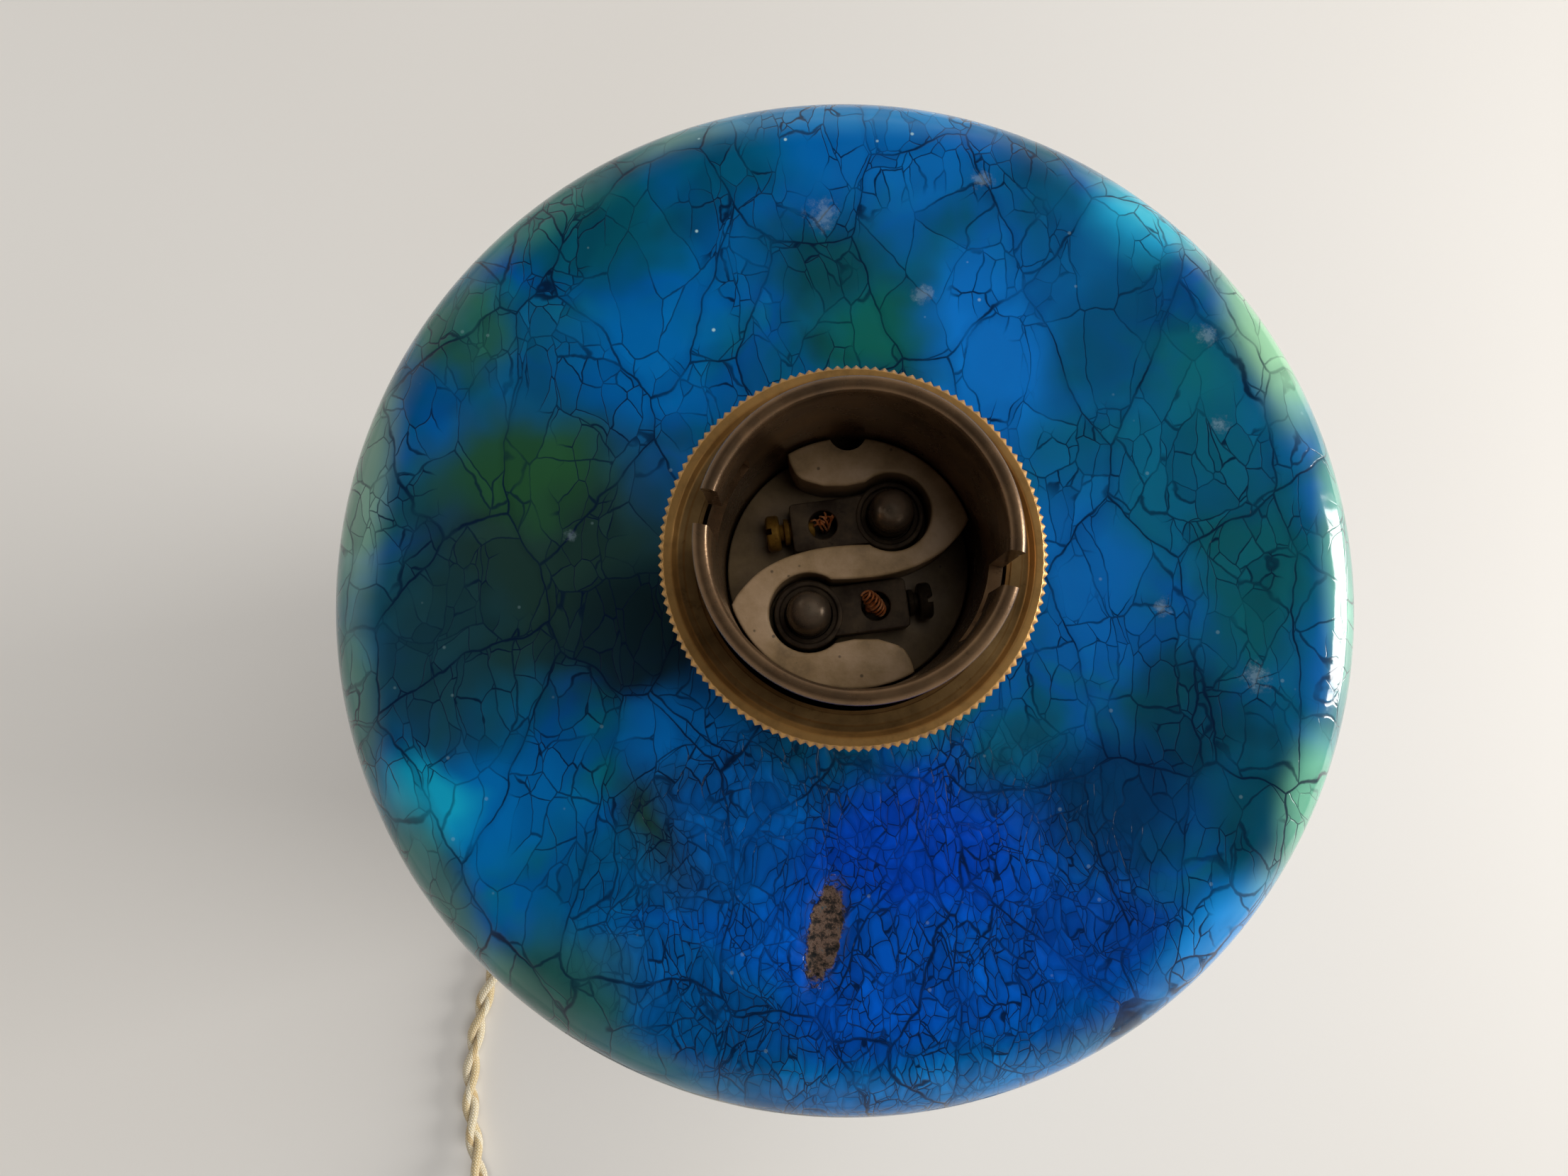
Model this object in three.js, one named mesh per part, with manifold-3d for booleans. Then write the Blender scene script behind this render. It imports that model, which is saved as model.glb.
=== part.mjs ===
// Ceramic table lamp with a brass bayonet lampholder, its wiring, flex, in-line switch and plug.
// Millimetres, +Z up the lamp's axis, origin on the table under the middle of the foot.
import * as THREE from 'three';
import { mergeVertices } from 'three/addons/utils/BufferGeometryUtils.js';
import Module from 'manifold-3d';

const wasm = await Module();
wasm.setup();

// ---- driving dimensions ------------------------------------------------------------------

const RIM_Z = 300;                 // top of the bayonet barrel
const FELT = 2;                    // thickness of the felt ring under the foot
const BODY = { top: 268, wall: 6, roof: 8, foot: 50, belly: 56, shoulder: 54.4, roll: 7 };
const BARREL = { bore: 11.3, outer: 12.45, lip: 12.6, length: 23 };
const SLOT = { width: 2.7, depth: 8.2, turn: 22, angle: -11.5 };
const RING = { outer: 16.35, bore: 12.8, drop: 9.8, height: 6.2, floor: 15.1, step: 0.8 };
const CAP = { outer: 13.7, wall: 0.85, neck: 7.2, height: 15.4, washer: 0.6 };
const INSERT = { radius: 11.1, flange: 12.3, top: 285.4, floor: 279.6, bottom: 274.6 };
const WELL = { x: 3.65, y: 4.45, radius: 3.5 };
const TERMINAL = { cup: 3.05, bore: 2.3, lip: 2.1, top: 283.2, bottom: 276.2, reach: 8.9, width: 4.4 };
const WIRE_HOLE = { reach: 6.05, radius: 1.3 };
const TERMINAL_TURN = 7.5;         // degrees, direction of each terminal block from its cup
const SCREW_Z = 281.45;            // height of the terminal screws' axes
const PLUNGER = { radius: 1.95, flange: 2.2, crown: 287.5, flangeZ: 281.2, flangeHeight: 1 };
const SPRING = { radius: 1.65, wire: 0.22, turns: 4, low: 277.3, high: 280.9 };
const NIPPLE = { outer: 4.9, bore: 3.6, low: 240, high: 273.4 };
const FLEX = { radius: 2.7, core: 1.2 };
const EXIT = { angle: 216, z: 10, hole: 4.4, nose: 66 };
const COIL = { x: -30, y: -217, radius: 32, half: 10.75, chamfer: 5.5, low: 0.2 };
const SWITCH = { x: -103.5, y: -195.6, length: 62, width: 27, split: 8.2, height: 19, low: 0.2 };
const PLUG = { x: 51.9, y: -226, turn: 3, length: 40, width: 35, neck: 11, height: 13.6, low: 0.2 };

const PIN_SPAN = 9.3;              // half the distance between the plug's pins

const ROUND = 48;                  // facets round a large turned piece
const SMALL_ROUND = 24;            // facets round a small one

const radians = THREE.MathUtils.degToRad;

// ---- solids ------------------------------------------------------------------------------

// A closed three.js geometry as a manifold solid, its shared vertices merged and faces outward.
function solid(geometry) {
  const plain = geometry.index ? geometry.clone() : geometry;
  plain.deleteAttribute('normal');
  plain.deleteAttribute('uv');
  const merged = mergeVertices(plain, 1e-4);
  const positions = merged.attributes.position.array;
  const index = merged.index.array;
  const kept = [];
  for (let i = 0; i < index.length; i += 3) {
    const [a, b, c] = [index[i], index[i + 1], index[i + 2]];
    if (a !== b && b !== c && c !== a) kept.push(a, b, c);
  }
  if (signedVolume(positions, kept) < 0) kept.reverse();
  const triVerts = new Uint32Array(kept);
  return new wasm.Manifold(new wasm.Mesh({ numProp: 3, vertProperties: positions, triVerts }));
}

function signedVolume(positions, index) {
  const corner = (n) => new THREE.Vector3().fromArray(positions, 3 * index[n]);
  let six = 0;
  for (let i = 0; i < index.length; i += 3) {
    six += corner(i).dot(corner(i + 1).cross(corner(i + 2)));
  }
  return six / 6;
}

function geometryOf(body) {
  const mesh = body.getMesh();
  const geometry = new THREE.BufferGeometry();
  const count = mesh.vertProperties.length / mesh.numProp;
  const positions = new Float32Array(3 * count);
  for (let i = 0; i < count; i += 1) {
    for (let k = 0; k < 3; k += 1) positions[3 * i + k] = mesh.vertProperties[mesh.numProp * i + k];
  }
  geometry.setAttribute('position', new THREE.BufferAttribute(positions, 3));
  geometry.setIndex(Array.from(mesh.triVerts));
  geometry.computeVertexNormals();
  return geometry;
}

// A turned piece: profile points are [radius, height], going up the outside.
function turned(profile, facets = ROUND) {
  const points = profile.map(([r, z]) => new THREE.Vector2(r, z));
  return solid(new THREE.LatheGeometry(points, facets).rotateX(Math.PI / 2));
}

function tube(outer, inner, low, high, facets = ROUND) {
  return turned([[outer, low], [outer, high], [inner, high], [inner, low], [outer, low]], facets);
}

function rod(radius, low, high, facets = SMALL_ROUND) {
  return turned([[0, low], [radius, low], [radius, high], [0, high]], facets);
}

// A flat outline in XY raised from low to high.
function prism(shape, low, high, curveSegments = 10) {
  const options = { depth: high - low, bevelEnabled: false, curveSegments };
  return solid(new THREE.ExtrudeGeometry(shape, options).translate(0, 0, low));
}

function block(x0, x1, y0, y1, z0, z1) {
  const box = new THREE.BoxGeometry(x1 - x0, y1 - y0, z1 - z0);
  return solid(box.translate((x0 + x1) / 2, (y0 + y1) / 2, (z0 + z1) / 2));
}

function disc(radius) {
  const shape = new THREE.Shape();
  shape.absarc(0, 0, radius, 0, 2 * Math.PI);
  return shape;
}

// A round bar along a smooth curve through the points.
function swept(points, radius, steps, sides = 10) {
  const path = new THREE.CatmullRomCurve3(points.map((p) => new THREE.Vector3(...p)));
  const options = { steps, extrudePath: path, curveSegments: sides / 2 };
  return solid(new THREE.ExtrudeGeometry(disc(radius), options));
}

// Lays a piece made along Z so that Z becomes X.
function alongX(body) {
  return body.rotate([0, 90, 0]);
}

function roundedRectangle(length, width, corner) {
  const [x, y] = [length / 2, width / 2];
  const shape = new THREE.Shape();
  shape.absarc(x - corner, y - corner, corner, 0, Math.PI / 2);
  shape.absarc(corner - x, y - corner, corner, Math.PI / 2, Math.PI);
  shape.absarc(corner - x, corner - y, corner, Math.PI, 1.5 * Math.PI);
  shape.absarc(x - corner, corner - y, corner, 1.5 * Math.PI, 2 * Math.PI);
  return shape;
}

// ---- materials ---------------------------------------------------------------------------

const finish = (color, roughness, metalness) => ({ color, roughness, metalness });
const FINISH = {
  glaze: finish(0x0a55a8, 0.12, 0),
  felt: finish(0x2f4a38, 0.95, 0),
  agedBrass: finish(0x6b5436, 0.4, 1),
  brightBrass: finish(0x9a7440, 0.35, 1),
  steel: finish(0x8c8c8a, 0.4, 1),
  rubber: finish(0x2a2724, 0.8, 0),
  porcelain: finish(0xa08f74, 0.55, 0),
  contact: finish(0x554a3c, 0.35, 1),
  copper: finish(0xa8552c, 0.3, 1),
  insulation: finish(0xcbb994, 0.8, 0),
  cloth: finish(0xd9c8a2, 0.85, 0),
  bakelite: finish(0x3c2217, 0.3, 0),
  nickel: finish(0xb5afa3, 0.3, 1),
};

function piece(name, body, material) {
  const mesh = new THREE.Mesh(geometryOf(body), new THREE.MeshStandardMaterial(FINISH[material]));
  mesh.name = name;
  return mesh;
}

function group(...children) {
  const holder = new THREE.Group();
  holder.add(...children);
  return holder;
}

// ---- ceramic body ------------------------------------------------------------------------

// Half-width of the thrown wall at a height: foot, soft belly, then the shoulder.
function wallRadius(z) {
  const t = (z - FELT) / (BODY.top - FELT);
  const swell = Math.sin(Math.PI * Math.min(1, t * 1.02));
  const straight = THREE.MathUtils.lerp(BODY.foot + 1.6, BODY.shoulder, Math.sqrt(t));
  return straight + (BODY.belly - BODY.shoulder) * swell;
}

function ceramicBody() {
  const wallSteps = 8;
  const rollSteps = 5;
  const edge = 4;
  const rollStart = BODY.top - BODY.roll;
  const outside = [[BODY.foot - 2, FELT]];
  for (let i = 0; i <= wallSteps; i += 1) {
    const z = THREE.MathUtils.lerp(FELT + edge, rollStart, i / wallSteps);
    outside.push([wallRadius(z), z]);
  }
  const rollCentre = wallRadius(rollStart) - BODY.roll;
  for (let i = 1; i <= rollSteps; i += 1) {
    const a = (Math.PI / 2) * (i / rollSteps);
    outside.push([rollCentre + BODY.roll * Math.cos(a), rollStart + BODY.roll * Math.sin(a)]);
  }
  const ceiling = BODY.top - BODY.roof;
  const inside = [[NIPPLE.outer + 0.7, BODY.top], [NIPPLE.outer + 0.7, ceiling], [38, ceiling]];
  for (let i = wallSteps - 1; i >= 1; i -= 2) {
    const z = THREE.MathUtils.lerp(FELT + edge, rollStart, i / wallSteps);
    inside.push([wallRadius(z) - BODY.wall, z]);
  }
  inside.push([BODY.foot - 11, FELT]);
  const shell = turned([...outside, ...inside, outside[0]]);
  const exitHole = alongX(rod(EXIT.hole, 30, 70)).translate([0, 0, EXIT.z]);
  return shell.subtract(exitHole.rotate([0, 0, EXIT.angle]));
}

function feltRing() {
  return tube(BODY.foot - 2.4, BODY.foot - 11, 0, FELT);
}

// Rubber bush with a tapered nose, seated in the hole where the flex leaves the foot.
function flexBush() {
  const bore = FLEX.radius + 0.3;
  const seat = 52.6;
  const inner = 43;
  const profile = [[EXIT.hole - 0.3, inner], [EXIT.hole - 0.3, seat], [6.4, seat], [6.2, seat + 2.6],
    [4, EXIT.nose], [bore, EXIT.nose], [bore, inner], [EXIT.hole - 0.3, inner]];
  return alongX(turned(profile, SMALL_ROUND)).translate([0, 0, EXIT.z]);
}

// ---- lampholder --------------------------------------------------------------------------

function bayonetBarrel() {
  const low = RIM_Z - BARREL.length;
  const shell = turned([[BARREL.outer, low], [BARREL.outer, RIM_Z - 1.6], [BARREL.lip, RIM_Z - 0.9],
    [BARREL.lip - 0.2, RIM_Z - 0.25], [BARREL.lip - 0.6, RIM_Z], [BARREL.bore + 0.2, RIM_Z - 0.1],
    [BARREL.bore, RIM_Z - 0.5], [BARREL.bore, low], [BARREL.outer, low]]);
  const half = SLOT.width / 2;
  const reach = BARREL.lip + 1;
  const floor = RIM_Z - SLOT.depth - half;
  let cut = shell;
  for (const side of [0, 180]) {
    const drop = block(BARREL.bore - 1, reach, -half, half, floor, RIM_Z + 1);
    cut = cut.subtract(drop.rotate([0, 0, SLOT.angle + side]));
    const steps = 6;
    for (let i = 1; i <= steps; i += 1) {
      const sweep = block(BARREL.bore - 1, reach, -half, half, floor, floor + SLOT.width);
      cut = cut.subtract(sweep.rotate([0, 0, SLOT.angle + side - (SLOT.turn * i) / steps]));
    }
    const seat = block(BARREL.bore - 1, reach, -half, half, floor, floor + SLOT.width + 1.1);
    cut = cut.subtract(seat.rotate([0, 0, SLOT.angle + side - SLOT.turn]));
  }
  return cut;
}

function shadeRing() {
  const top = RIM_Z - RING.drop;
  const low = top - RING.height;
  const floor = top - RING.step;
  return turned([[RING.outer - 0.5, low], [RING.outer, low + 0.5], [RING.outer, top - 0.3],
    [RING.outer - 0.3, top], [RING.floor, top], [RING.floor - 0.1, floor], [RING.bore, floor],
    [RING.bore, low], [RING.outer - 0.5, low]]);
}

function holderCap() {
  const low = BODY.top + CAP.washer;
  const high = low + CAP.height;
  const inside = CAP.outer - CAP.wall;
  return turned([[CAP.neck, low], [CAP.neck, low + 2.6], [CAP.neck + 1, low + 3.4],
    [CAP.outer - 2.2, low + 4.6], [CAP.outer - 0.6, low + 5.6], [CAP.outer, low + 7],
    [CAP.outer, high], [inside, high], [inside, low + 6.2], [inside - 1.4, low + 5.2],
    [NIPPLE.outer + 0.1, low + 4.6], [NIPPLE.outer + 0.1, low], [CAP.neck, low]]);
}

function seatWasher() {
  return tube(9.2, NIPPLE.outer + 0.2, BODY.top, BODY.top + CAP.washer - 0.05);
}

function capSetScrew() {
  const screw = alongX(rod(1.25, NIPPLE.outer + 0.3, CAP.neck + 1.2, 16));
  const slot = block(CAP.neck + 0.6, CAP.neck + 2, -2, 2, -0.25, 0.25);
  return screw.subtract(slot);
}

const plane = (points) => points.map(([x, y]) => new THREE.Vector2(x, y));

// The pocket beside one arm of the S: rounded arm end, straight edge, well, then the S's back.
function pocketShape() {
  const clear = INSERT.radius + 3;
  const [from, to] = [radians(205), radians(120)];
  const armEdge = 6.75;
  const enter = Math.PI - Math.asin((armEdge - WELL.y) / WELL.radius);
  const leave = radians(236 - 360);
  const shape = new THREE.Shape();
  shape.moveTo(clear * Math.cos(to), clear * Math.sin(to));
  shape.lineTo(-5.6, 10.2);
  shape.splineThru(plane([[-5.25, 8.7], [-4.4, 7.45], [-2.4, armEdge]]));
  shape.absarc(WELL.x, WELL.y, WELL.radius, enter, leave, true);
  shape.splineThru(plane([[-0.2, 1.5], [-2.6, 1.25], [-4.7, 0.75], [-6.4, 0.1], [-8.2, -1], [-9.8, -2.7],
    [-10.8, -4.3]]));
  shape.absarc(0, 0, clear, from, to, true);
  return shape;
}

function porcelainInsert() {
  const { radius, flange, top, floor, bottom } = INSERT;
  const shoulder = RIM_Z - BARREL.length - 0.2;
  let body = turned([[0, bottom], [flange, bottom], [flange, shoulder], [radius, shoulder],
    [radius, top - 0.25], [radius - 0.25, top], [0, top]]);
  const pocket = prism(pocketShape(), floor, top + 1, 8);
  const well = rod(TERMINAL.cup + 0.2, TERMINAL.bottom - 0.2, top).translate([WELL.x, WELL.y, 0]);
  const reach = WIRE_HOLE.reach;
  const wireHole = rod(WIRE_HOLE.radius + 0.15, bottom - 1, top).translate([-reach, 0, 0])
    .rotate([0, 0, TERMINAL_TURN]).translate([WELL.x, WELL.y, 0]);
  for (const turn of [0, 180]) {
    for (const cutter of [pocket, well, wireHole]) body = body.subtract(cutter.rotate([0, 0, turn]));
  }
  const cavity = block(-6.4, 6.4, -2, 2, bottom - 1, floor - 2).rotate([0, 0, 124]);
  const key = rod(1.7, floor, top + 1, 20).translate([-0.2, radius + 0.5, 0]);
  return body.subtract(cavity).subtract(key);
}

// One contact: a cup for the plunger joined to a clamping block, along +X from the cup's axis.
function terminal() {
  const { cup, bore, lip, top, bottom, reach, width } = TERMINAL;
  const shell = turned([[0, bottom], [cup, bottom], [cup, top - 0.2], [cup - 0.2, top], [lip, top],
    [lip, top - 0.8], [bore, top - 0.9], [bore, bottom + 0.8], [0, bottom + 0.8]], SMALL_ROUND);
  const arm = block(cup - 0.7, reach, -width / 2, width / 2, INSERT.floor + 0.15, top);
  const hollow = rod(bore + 0.05, bottom + 0.8, top - 0.9).add(rod(lip, top - 1, top + 1));
  const wireHole = rod(WIRE_HOLE.radius, bottom, top + 1, 20).translate([WIRE_HOLE.reach, 0, 0]);
  const tapped = alongX(rod(0.95, WIRE_HOLE.reach, reach + 1, 16)).translate([0, 0, SCREW_Z]);
  return shell.add(arm.subtract(hollow)).subtract(wireHole).subtract(tapped);
}

function terminalScrew() {
  const { reach } = TERMINAL;
  const shank = alongX(rod(0.8, WIRE_HOLE.reach + 0.75, reach + 0.5, 16));
  const collar = alongX(rod(1.15, reach + 0.15, reach + 1.2, 20));
  const head = alongX(rod(1.65, reach + 1.1, reach + 2.3, 20));
  const slot = block(reach + 1.8, reach + 3, -2, 2, -0.28, 0.28);
  return shank.add(collar).add(head).subtract(slot);
}

function plunger() {
  const { radius, flange, crown, flangeZ, flangeHeight } = PLUNGER;
  const profile = [[0, flangeZ], [flange, flangeZ], [flange, flangeZ + flangeHeight],
    [radius, flangeZ + flangeHeight]];
  const steps = 7;
  for (let i = 0; i <= steps; i += 1) {
    const a = (Math.PI / 2) * (i / steps);
    profile.push([radius * Math.cos(a), crown - radius + radius * Math.sin(a)]);
  }
  return turned(profile, SMALL_ROUND);
}

function spring() {
  const points = [];
  const perTurn = 12;
  const count = SPRING.turns * perTurn;
  for (let i = 0; i <= count; i += 1) {
    const a = (2 * Math.PI * i) / perTurn;
    const z = THREE.MathUtils.lerp(SPRING.low, SPRING.high, i / count);
    points.push([SPRING.radius * Math.cos(a), SPRING.radius * Math.sin(a), z]);
  }
  return swept(points, SPRING.wire, 44, 6);
}

// ---- fixing hardware under the ceramic top -----------------------------------------------

function hexNut(acrossFlats, bore, low, high) {
  const corner = acrossFlats / Math.sqrt(3);
  const shape = new THREE.Shape();
  for (let i = 0; i < 6; i += 1) {
    const a = (Math.PI / 3) * i;
    if (i === 0) shape.moveTo(corner, 0);
    else shape.lineTo(corner * Math.cos(a), corner * Math.sin(a));
  }
  return prism(shape, low, high).subtract(rod(bore, low - 1, high + 1));
}

// ---- wiring ------------------------------------------------------------------------------

function flexInside() {
  const a = radians(EXIT.angle);
  const out = (r, z) => [r * Math.cos(a), r * Math.sin(a), z];
  const route = [out(50, EXIT.z), out(42, EXIT.z), out(34, 12), out(22, 24), out(10, 60),
    out(3, 110), [0, 0, 160], [0, 0, 215], [0, 0, 245], [0, 0, 270.4]];
  return swept(route, FLEX.radius, 26, 8);
}

// An insulated core from the end of the flex to the underside of its terminal.
function core(side) {
  const t = radians(TERMINAL_TURN);
  const x = WELL.x - WIRE_HOLE.reach * Math.cos(t);
  const y = WELL.y - WIRE_HOLE.reach * Math.sin(t);
  const start = 0.3;
  const route = [[start * x, start * y, 270.8], [start * x, start * y, 272.2], [0.55 * x, 0.55 * y, 274],
    [0.95 * x, 0.95 * y, 276.2], [x, y, 278.4], [x, y, 279.5]];
  return swept(route.map(([px, py, z]) => [side * px, side * py, z]), FLEX.core, 12, 8);
}

// The bared, twisted strands that stand up in the terminal's wire hole.
function strands() {
  return rod(0.62, 279.8, 283.9, 12);
}

// ---- free flex ---------------------------------------------------------------------------

const LIE = FLEX.radius + 0.2;      // height of the flex's axis where it lies on the table

const RUN_TO_SWITCH = [[-53.7, -39, 10], [-58.6, -42.6, 9.3], [-64, -46.6, 7], [-70, -51.4, 4.4],
  [-76.4, -57.2, LIE], [-83.2, -64.4, LIE], [-90, -72.8, LIE], [-96.4, -82.4, LIE],
  [-101.6, -93, LIE], [-105.6, -104.6, LIE], [-108.4, -117, LIE], [-109.6, -129, LIE],
  [-109.2, -140, LIE], [-107.6, -149, 3.8], [-105.4, -157, 6.2], [-103.9, -164.2, 8]];

const RUN_TO_COIL = [[-103.5, -226.9, 8], [-102.7, -232.7, 6.6], [-100.2, -238.7, 4.6],
  [-95.6, -243.9, 3.3], [-89, -247.7, LIE], [-81.5, -249, LIE], [-74.5, -249, LIE],
  [-67.5, -249, LIE], [-60.8, -249, LIE]];

const RUN_TO_PLUG = [[11, -236.4, 8.2], [17.4, -232.1, 5.6], [24.4, -229, 3.6], [32, -227.2, LIE],
  [39.6, -226.4, 4.2], [46, -226.1, 6.2], [51.6, -226, 6.9]];

function freeFlex(route, steps) {
  return swept(route, FLEX.radius, steps);
}

function flexCoil() {
  const { radius, half, chamfer, low } = COIL;
  const [inner, outer, high] = [radius - half, radius + half, low + 2 * half];
  return turned([[inner + chamfer, low], [outer - chamfer, low], [outer, low + chamfer],
    [outer, high - chamfer], [outer - chamfer, high], [inner + chamfer, high], [inner, high - chamfer],
    [inner, low + chamfer], [inner + chamfer, low]], 36);
}

// ---- in-line switch ----------------------------------------------------------------------

function switchShell(low, high, entry) {
  const { length, width, split } = SWITCH;
  const outline = roundedRectangle(width, length, 9);
  const bore = rod(entry, -length, length, 16).rotate([90, 0, 0]).translate([0, 0, split - 0.2]);
  const shell = prism(outline, low, high, 6);
  const room = prism(roundedRectangle(width - 4.4, length - 22, 6), low + 2, high - 2, 4);
  return shell.subtract(room).subtract(bore);
}

function switchBase() {
  const { width, length, low, split } = SWITCH;
  const room = prism(roundedRectangle(width - 4.4, length - 22, 6), low + 2, split + 1, 4);
  let base = switchShell(low, split, FLEX.radius + 0.3).subtract(room);
  for (const side of [-1, 1]) base = base.subtract(screwHole(side));
  return base;
}

const ROCKER = { length: 19, width: 11.6, axisZ: 15.6, top: 20.6, low: 12.4, tilt: 9 };
const SHELL_SCREW = { x: 8.5, y: 25, head: 2.3, shank: 1.2, seat: 2.4, top: 14 };

function switchCover() {
  const { split, height, width, length } = SWITCH;
  const low = split + 0.3;
  const room = prism(roundedRectangle(width - 4.4, length - 22, 6), low - 1, height - 2, 4);
  const window = prism(roundedRectangle(ROCKER.width + 1.4, ROCKER.length + 2, 1), low, height + 1, 3);
  let cover = switchShell(low, height, FLEX.radius + 0.3).subtract(room).subtract(window);
  for (const side of [-1, 1]) cover = cover.subtract(screwHole(side));
  return cover;
}

// The stepped hole for one of the two screws that join the switch's halves from below.
function screwHole(side) {
  const { x, y, head, shank, seat, top } = SHELL_SCREW;
  const wide = rod(head + 0.3, -1, seat + 0.1, 16);
  return wide.add(rod(shank + 0.2, 0, top + 0.2, 16)).translate([side * x, side * y, 0]);
}

function shellScrew() {
  const { head, shank, seat, top } = SHELL_SCREW;
  const slot = block(-3, 3, -0.3, 0.3, -1, 1.4);
  return turned([[0, 0.7], [head, 0.7], [head, seat], [shank, seat], [shank, top], [0, top]], 16)
    .subtract(slot);
}

// A bent brass strip that carries the switched core: one lies each side of the flex.
function switchContact() {
  const strip = block(-0.5, 0.5, -12, 12, 2.6, 8.6);
  const tab = block(-2.6, 0.5, 6, 12, 7.8, 8.6);
  return strip.add(tab);
}

// The rocker rests with one end down; its hollow back lets a finger find the high end.
function rocker() {
  const { length, width, axisZ, top, low, tilt } = ROCKER;
  const half = length / 2;
  const [shoulder, crown, foot] = [1.6, top - axisZ, low - axisZ];
  const shape = new THREE.Shape();
  shape.moveTo(-half, shoulder);
  shape.lineTo(-half + 2, foot);
  shape.lineTo(half - 2, foot);
  shape.lineTo(half, shoulder);
  shape.quadraticCurveTo(half - 0.4, crown, half - 1.6, crown);
  shape.quadraticCurveTo(0, 1.4, 1.6 - half, crown);
  shape.quadraticCurveTo(-half + 0.4, crown, -half, shoulder);
  return prism(shape, -width / 2, width / 2, 6).rotate([90, 0, 90]).rotate([-tilt, 0, 0]);
}

// ---- plug --------------------------------------------------------------------------------

// A flat two-pin plug along +X: neck at the flex end, wide face at the pins.
function plugBody() {
  const { length, width, neck, height, low } = PLUG;
  const [w, n] = [width / 2, neck / 2];
  const shape = new THREE.Shape();
  shape.moveTo(0, -n);
  shape.lineTo(13, -n - 0.6);
  shape.quadraticCurveTo(17, -n - 1.2, 21, -w + 3);
  shape.quadraticCurveTo(23.4, -w, 27, -w);
  shape.lineTo(length, -w + 1);
  shape.lineTo(length, w - 1);
  shape.lineTo(27, w);
  shape.quadraticCurveTo(23.4, w, 21, w - 3);
  shape.quadraticCurveTo(17, n + 1.2, 13, n + 0.6);
  shape.lineTo(0, n);
  const body = prism(shape, low, height, 5);
  const middle = (low + height) / 2;
  let bored = body.subtract(alongX(rod(FLEX.radius + 0.3, -1, 12, 16)).translate([0, 0, middle]));
  for (const y of [-PIN_SPAN, PIN_SPAN]) {
    bored = bored.subtract(alongX(rod(2.15, length - 8, length + 1, 16)).translate([0, y, middle]));
  }
  const screwWell = rod(2.9, height - 3.2, height + 1, 20).translate([length - 11, 0, 0]);
  return bored.subtract(screwWell);
}

function plugPin() {
  const { length } = PLUG;
  const start = length - 7.6;
  const end = length + 19;
  return alongX(turned([[0, start], [2, start], [2, end - 1.6], [1.4, end - 0.4], [0.6, end],
    [0, end]], 16));
}

function plugScrew() {
  const top = PLUG.height - 0.6;
  const slot = block(-3, 3, -0.4, 0.4, top - 0.7, top + 1);
  return rod(2.6, top - 2.2, top, 20).subtract(slot);
}

// ---- assembly ----------------------------------------------------------------------------

function contactGroup(letter, side) {
  const strand = piece(`wire_strands_${letter}`, strands(), 'copper');
  strand.position.set(WIRE_HOLE.reach - 0.2, 0.35, 0);
  const screw = piece(`terminal_screw_${letter}`, terminalScrew(), 'agedBrass');
  screw.position.z = SCREW_Z;
  const set = group(
    piece(`contact_terminal_${letter}`, terminal(), 'contact'),
    screw,
    piece(`contact_plunger_${letter}`, plunger(), 'contact'),
    piece(`contact_spring_${letter}`, spring(), 'steel'),
    strand,
  );
  set.position.set(side * WELL.x, side * WELL.y, 0);
  set.rotation.z = radians(TERMINAL_TURN + (side > 0 ? 180 : 0));
  return set;
}

function lampholder() {
  const setScrew = piece('cap_set_screw', capSetScrew(), 'steel');
  setScrew.position.z = BODY.top + CAP.washer + 1.5;
  setScrew.rotation.z = radians(250);
  return group(
    piece('bayonet_barrel', bayonetBarrel(), 'agedBrass'),
    piece('shade_ring', shadeRing(), 'brightBrass'),
    piece('holder_cap', cutForSetScrew(holderCap()), 'agedBrass'),
    piece('seat_washer', seatWasher(), 'brightBrass'),
    setScrew,
    piece('porcelain_insert', porcelainInsert(), 'porcelain'),
    contactGroup('a', 1),
    contactGroup('b', -1),
  );
}

function cutForSetScrew(cap) {
  const hole = alongX(rod(1.45, NIPPLE.outer - 1, CAP.neck + 3, 16));
  return cap.subtract(hole.translate([0, 0, BODY.top + CAP.washer + 1.5]).rotate([0, 0, 250]));
}

function ceramicAndFixings() {
  const ceiling = BODY.top - BODY.roof;
  const bush = piece('flex_bush', flexBush(), 'rubber');
  bush.rotation.z = radians(EXIT.angle);
  return group(
    piece('ceramic_body', ceramicBody(), 'glaze'),
    piece('felt_ring', feltRing(), 'felt'),
    bush,
    piece('threaded_nipple', tube(NIPPLE.outer, NIPPLE.bore, NIPPLE.low, NIPPLE.high, 36), 'brightBrass'),
    piece('rubber_washer', tube(15, NIPPLE.outer + 0.2, ceiling - 2, ceiling, 36), 'rubber'),
    piece('steel_washer', tube(14, NIPPLE.outer + 0.2, ceiling - 3.5, ceiling - 2, 36), 'steel'),
    piece('nipple_nut', hexNut(17, NIPPLE.outer + 0.1, ceiling - 9, ceiling - 3.5), 'brightBrass'),
  );
}

function inlineSwitch() {
  const toggle = piece('switch_rocker', rocker(), 'insulation');
  toggle.position.z = ROCKER.axisZ;
  const set = group(
    piece('switch_base', switchBase(), 'bakelite'),
    piece('switch_cover', switchCover(), 'bakelite'),
    toggle,
  );
  for (const [letter, side] of [['a', 1], ['b', -1]]) {
    const screw = piece(`switch_screw_${letter}`, shellScrew(), 'nickel');
    screw.position.set(side * SHELL_SCREW.x, side * SHELL_SCREW.y, 0);
    const contact = piece(`switch_contact_${letter}`, switchContact(), 'brightBrass');
    contact.position.x = side * 6.5;
    contact.rotation.z = side > 0 ? 0 : Math.PI;
    set.add(screw, contact);
  }
  set.position.set(SWITCH.x, SWITCH.y, 0);
  return set;
}

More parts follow.
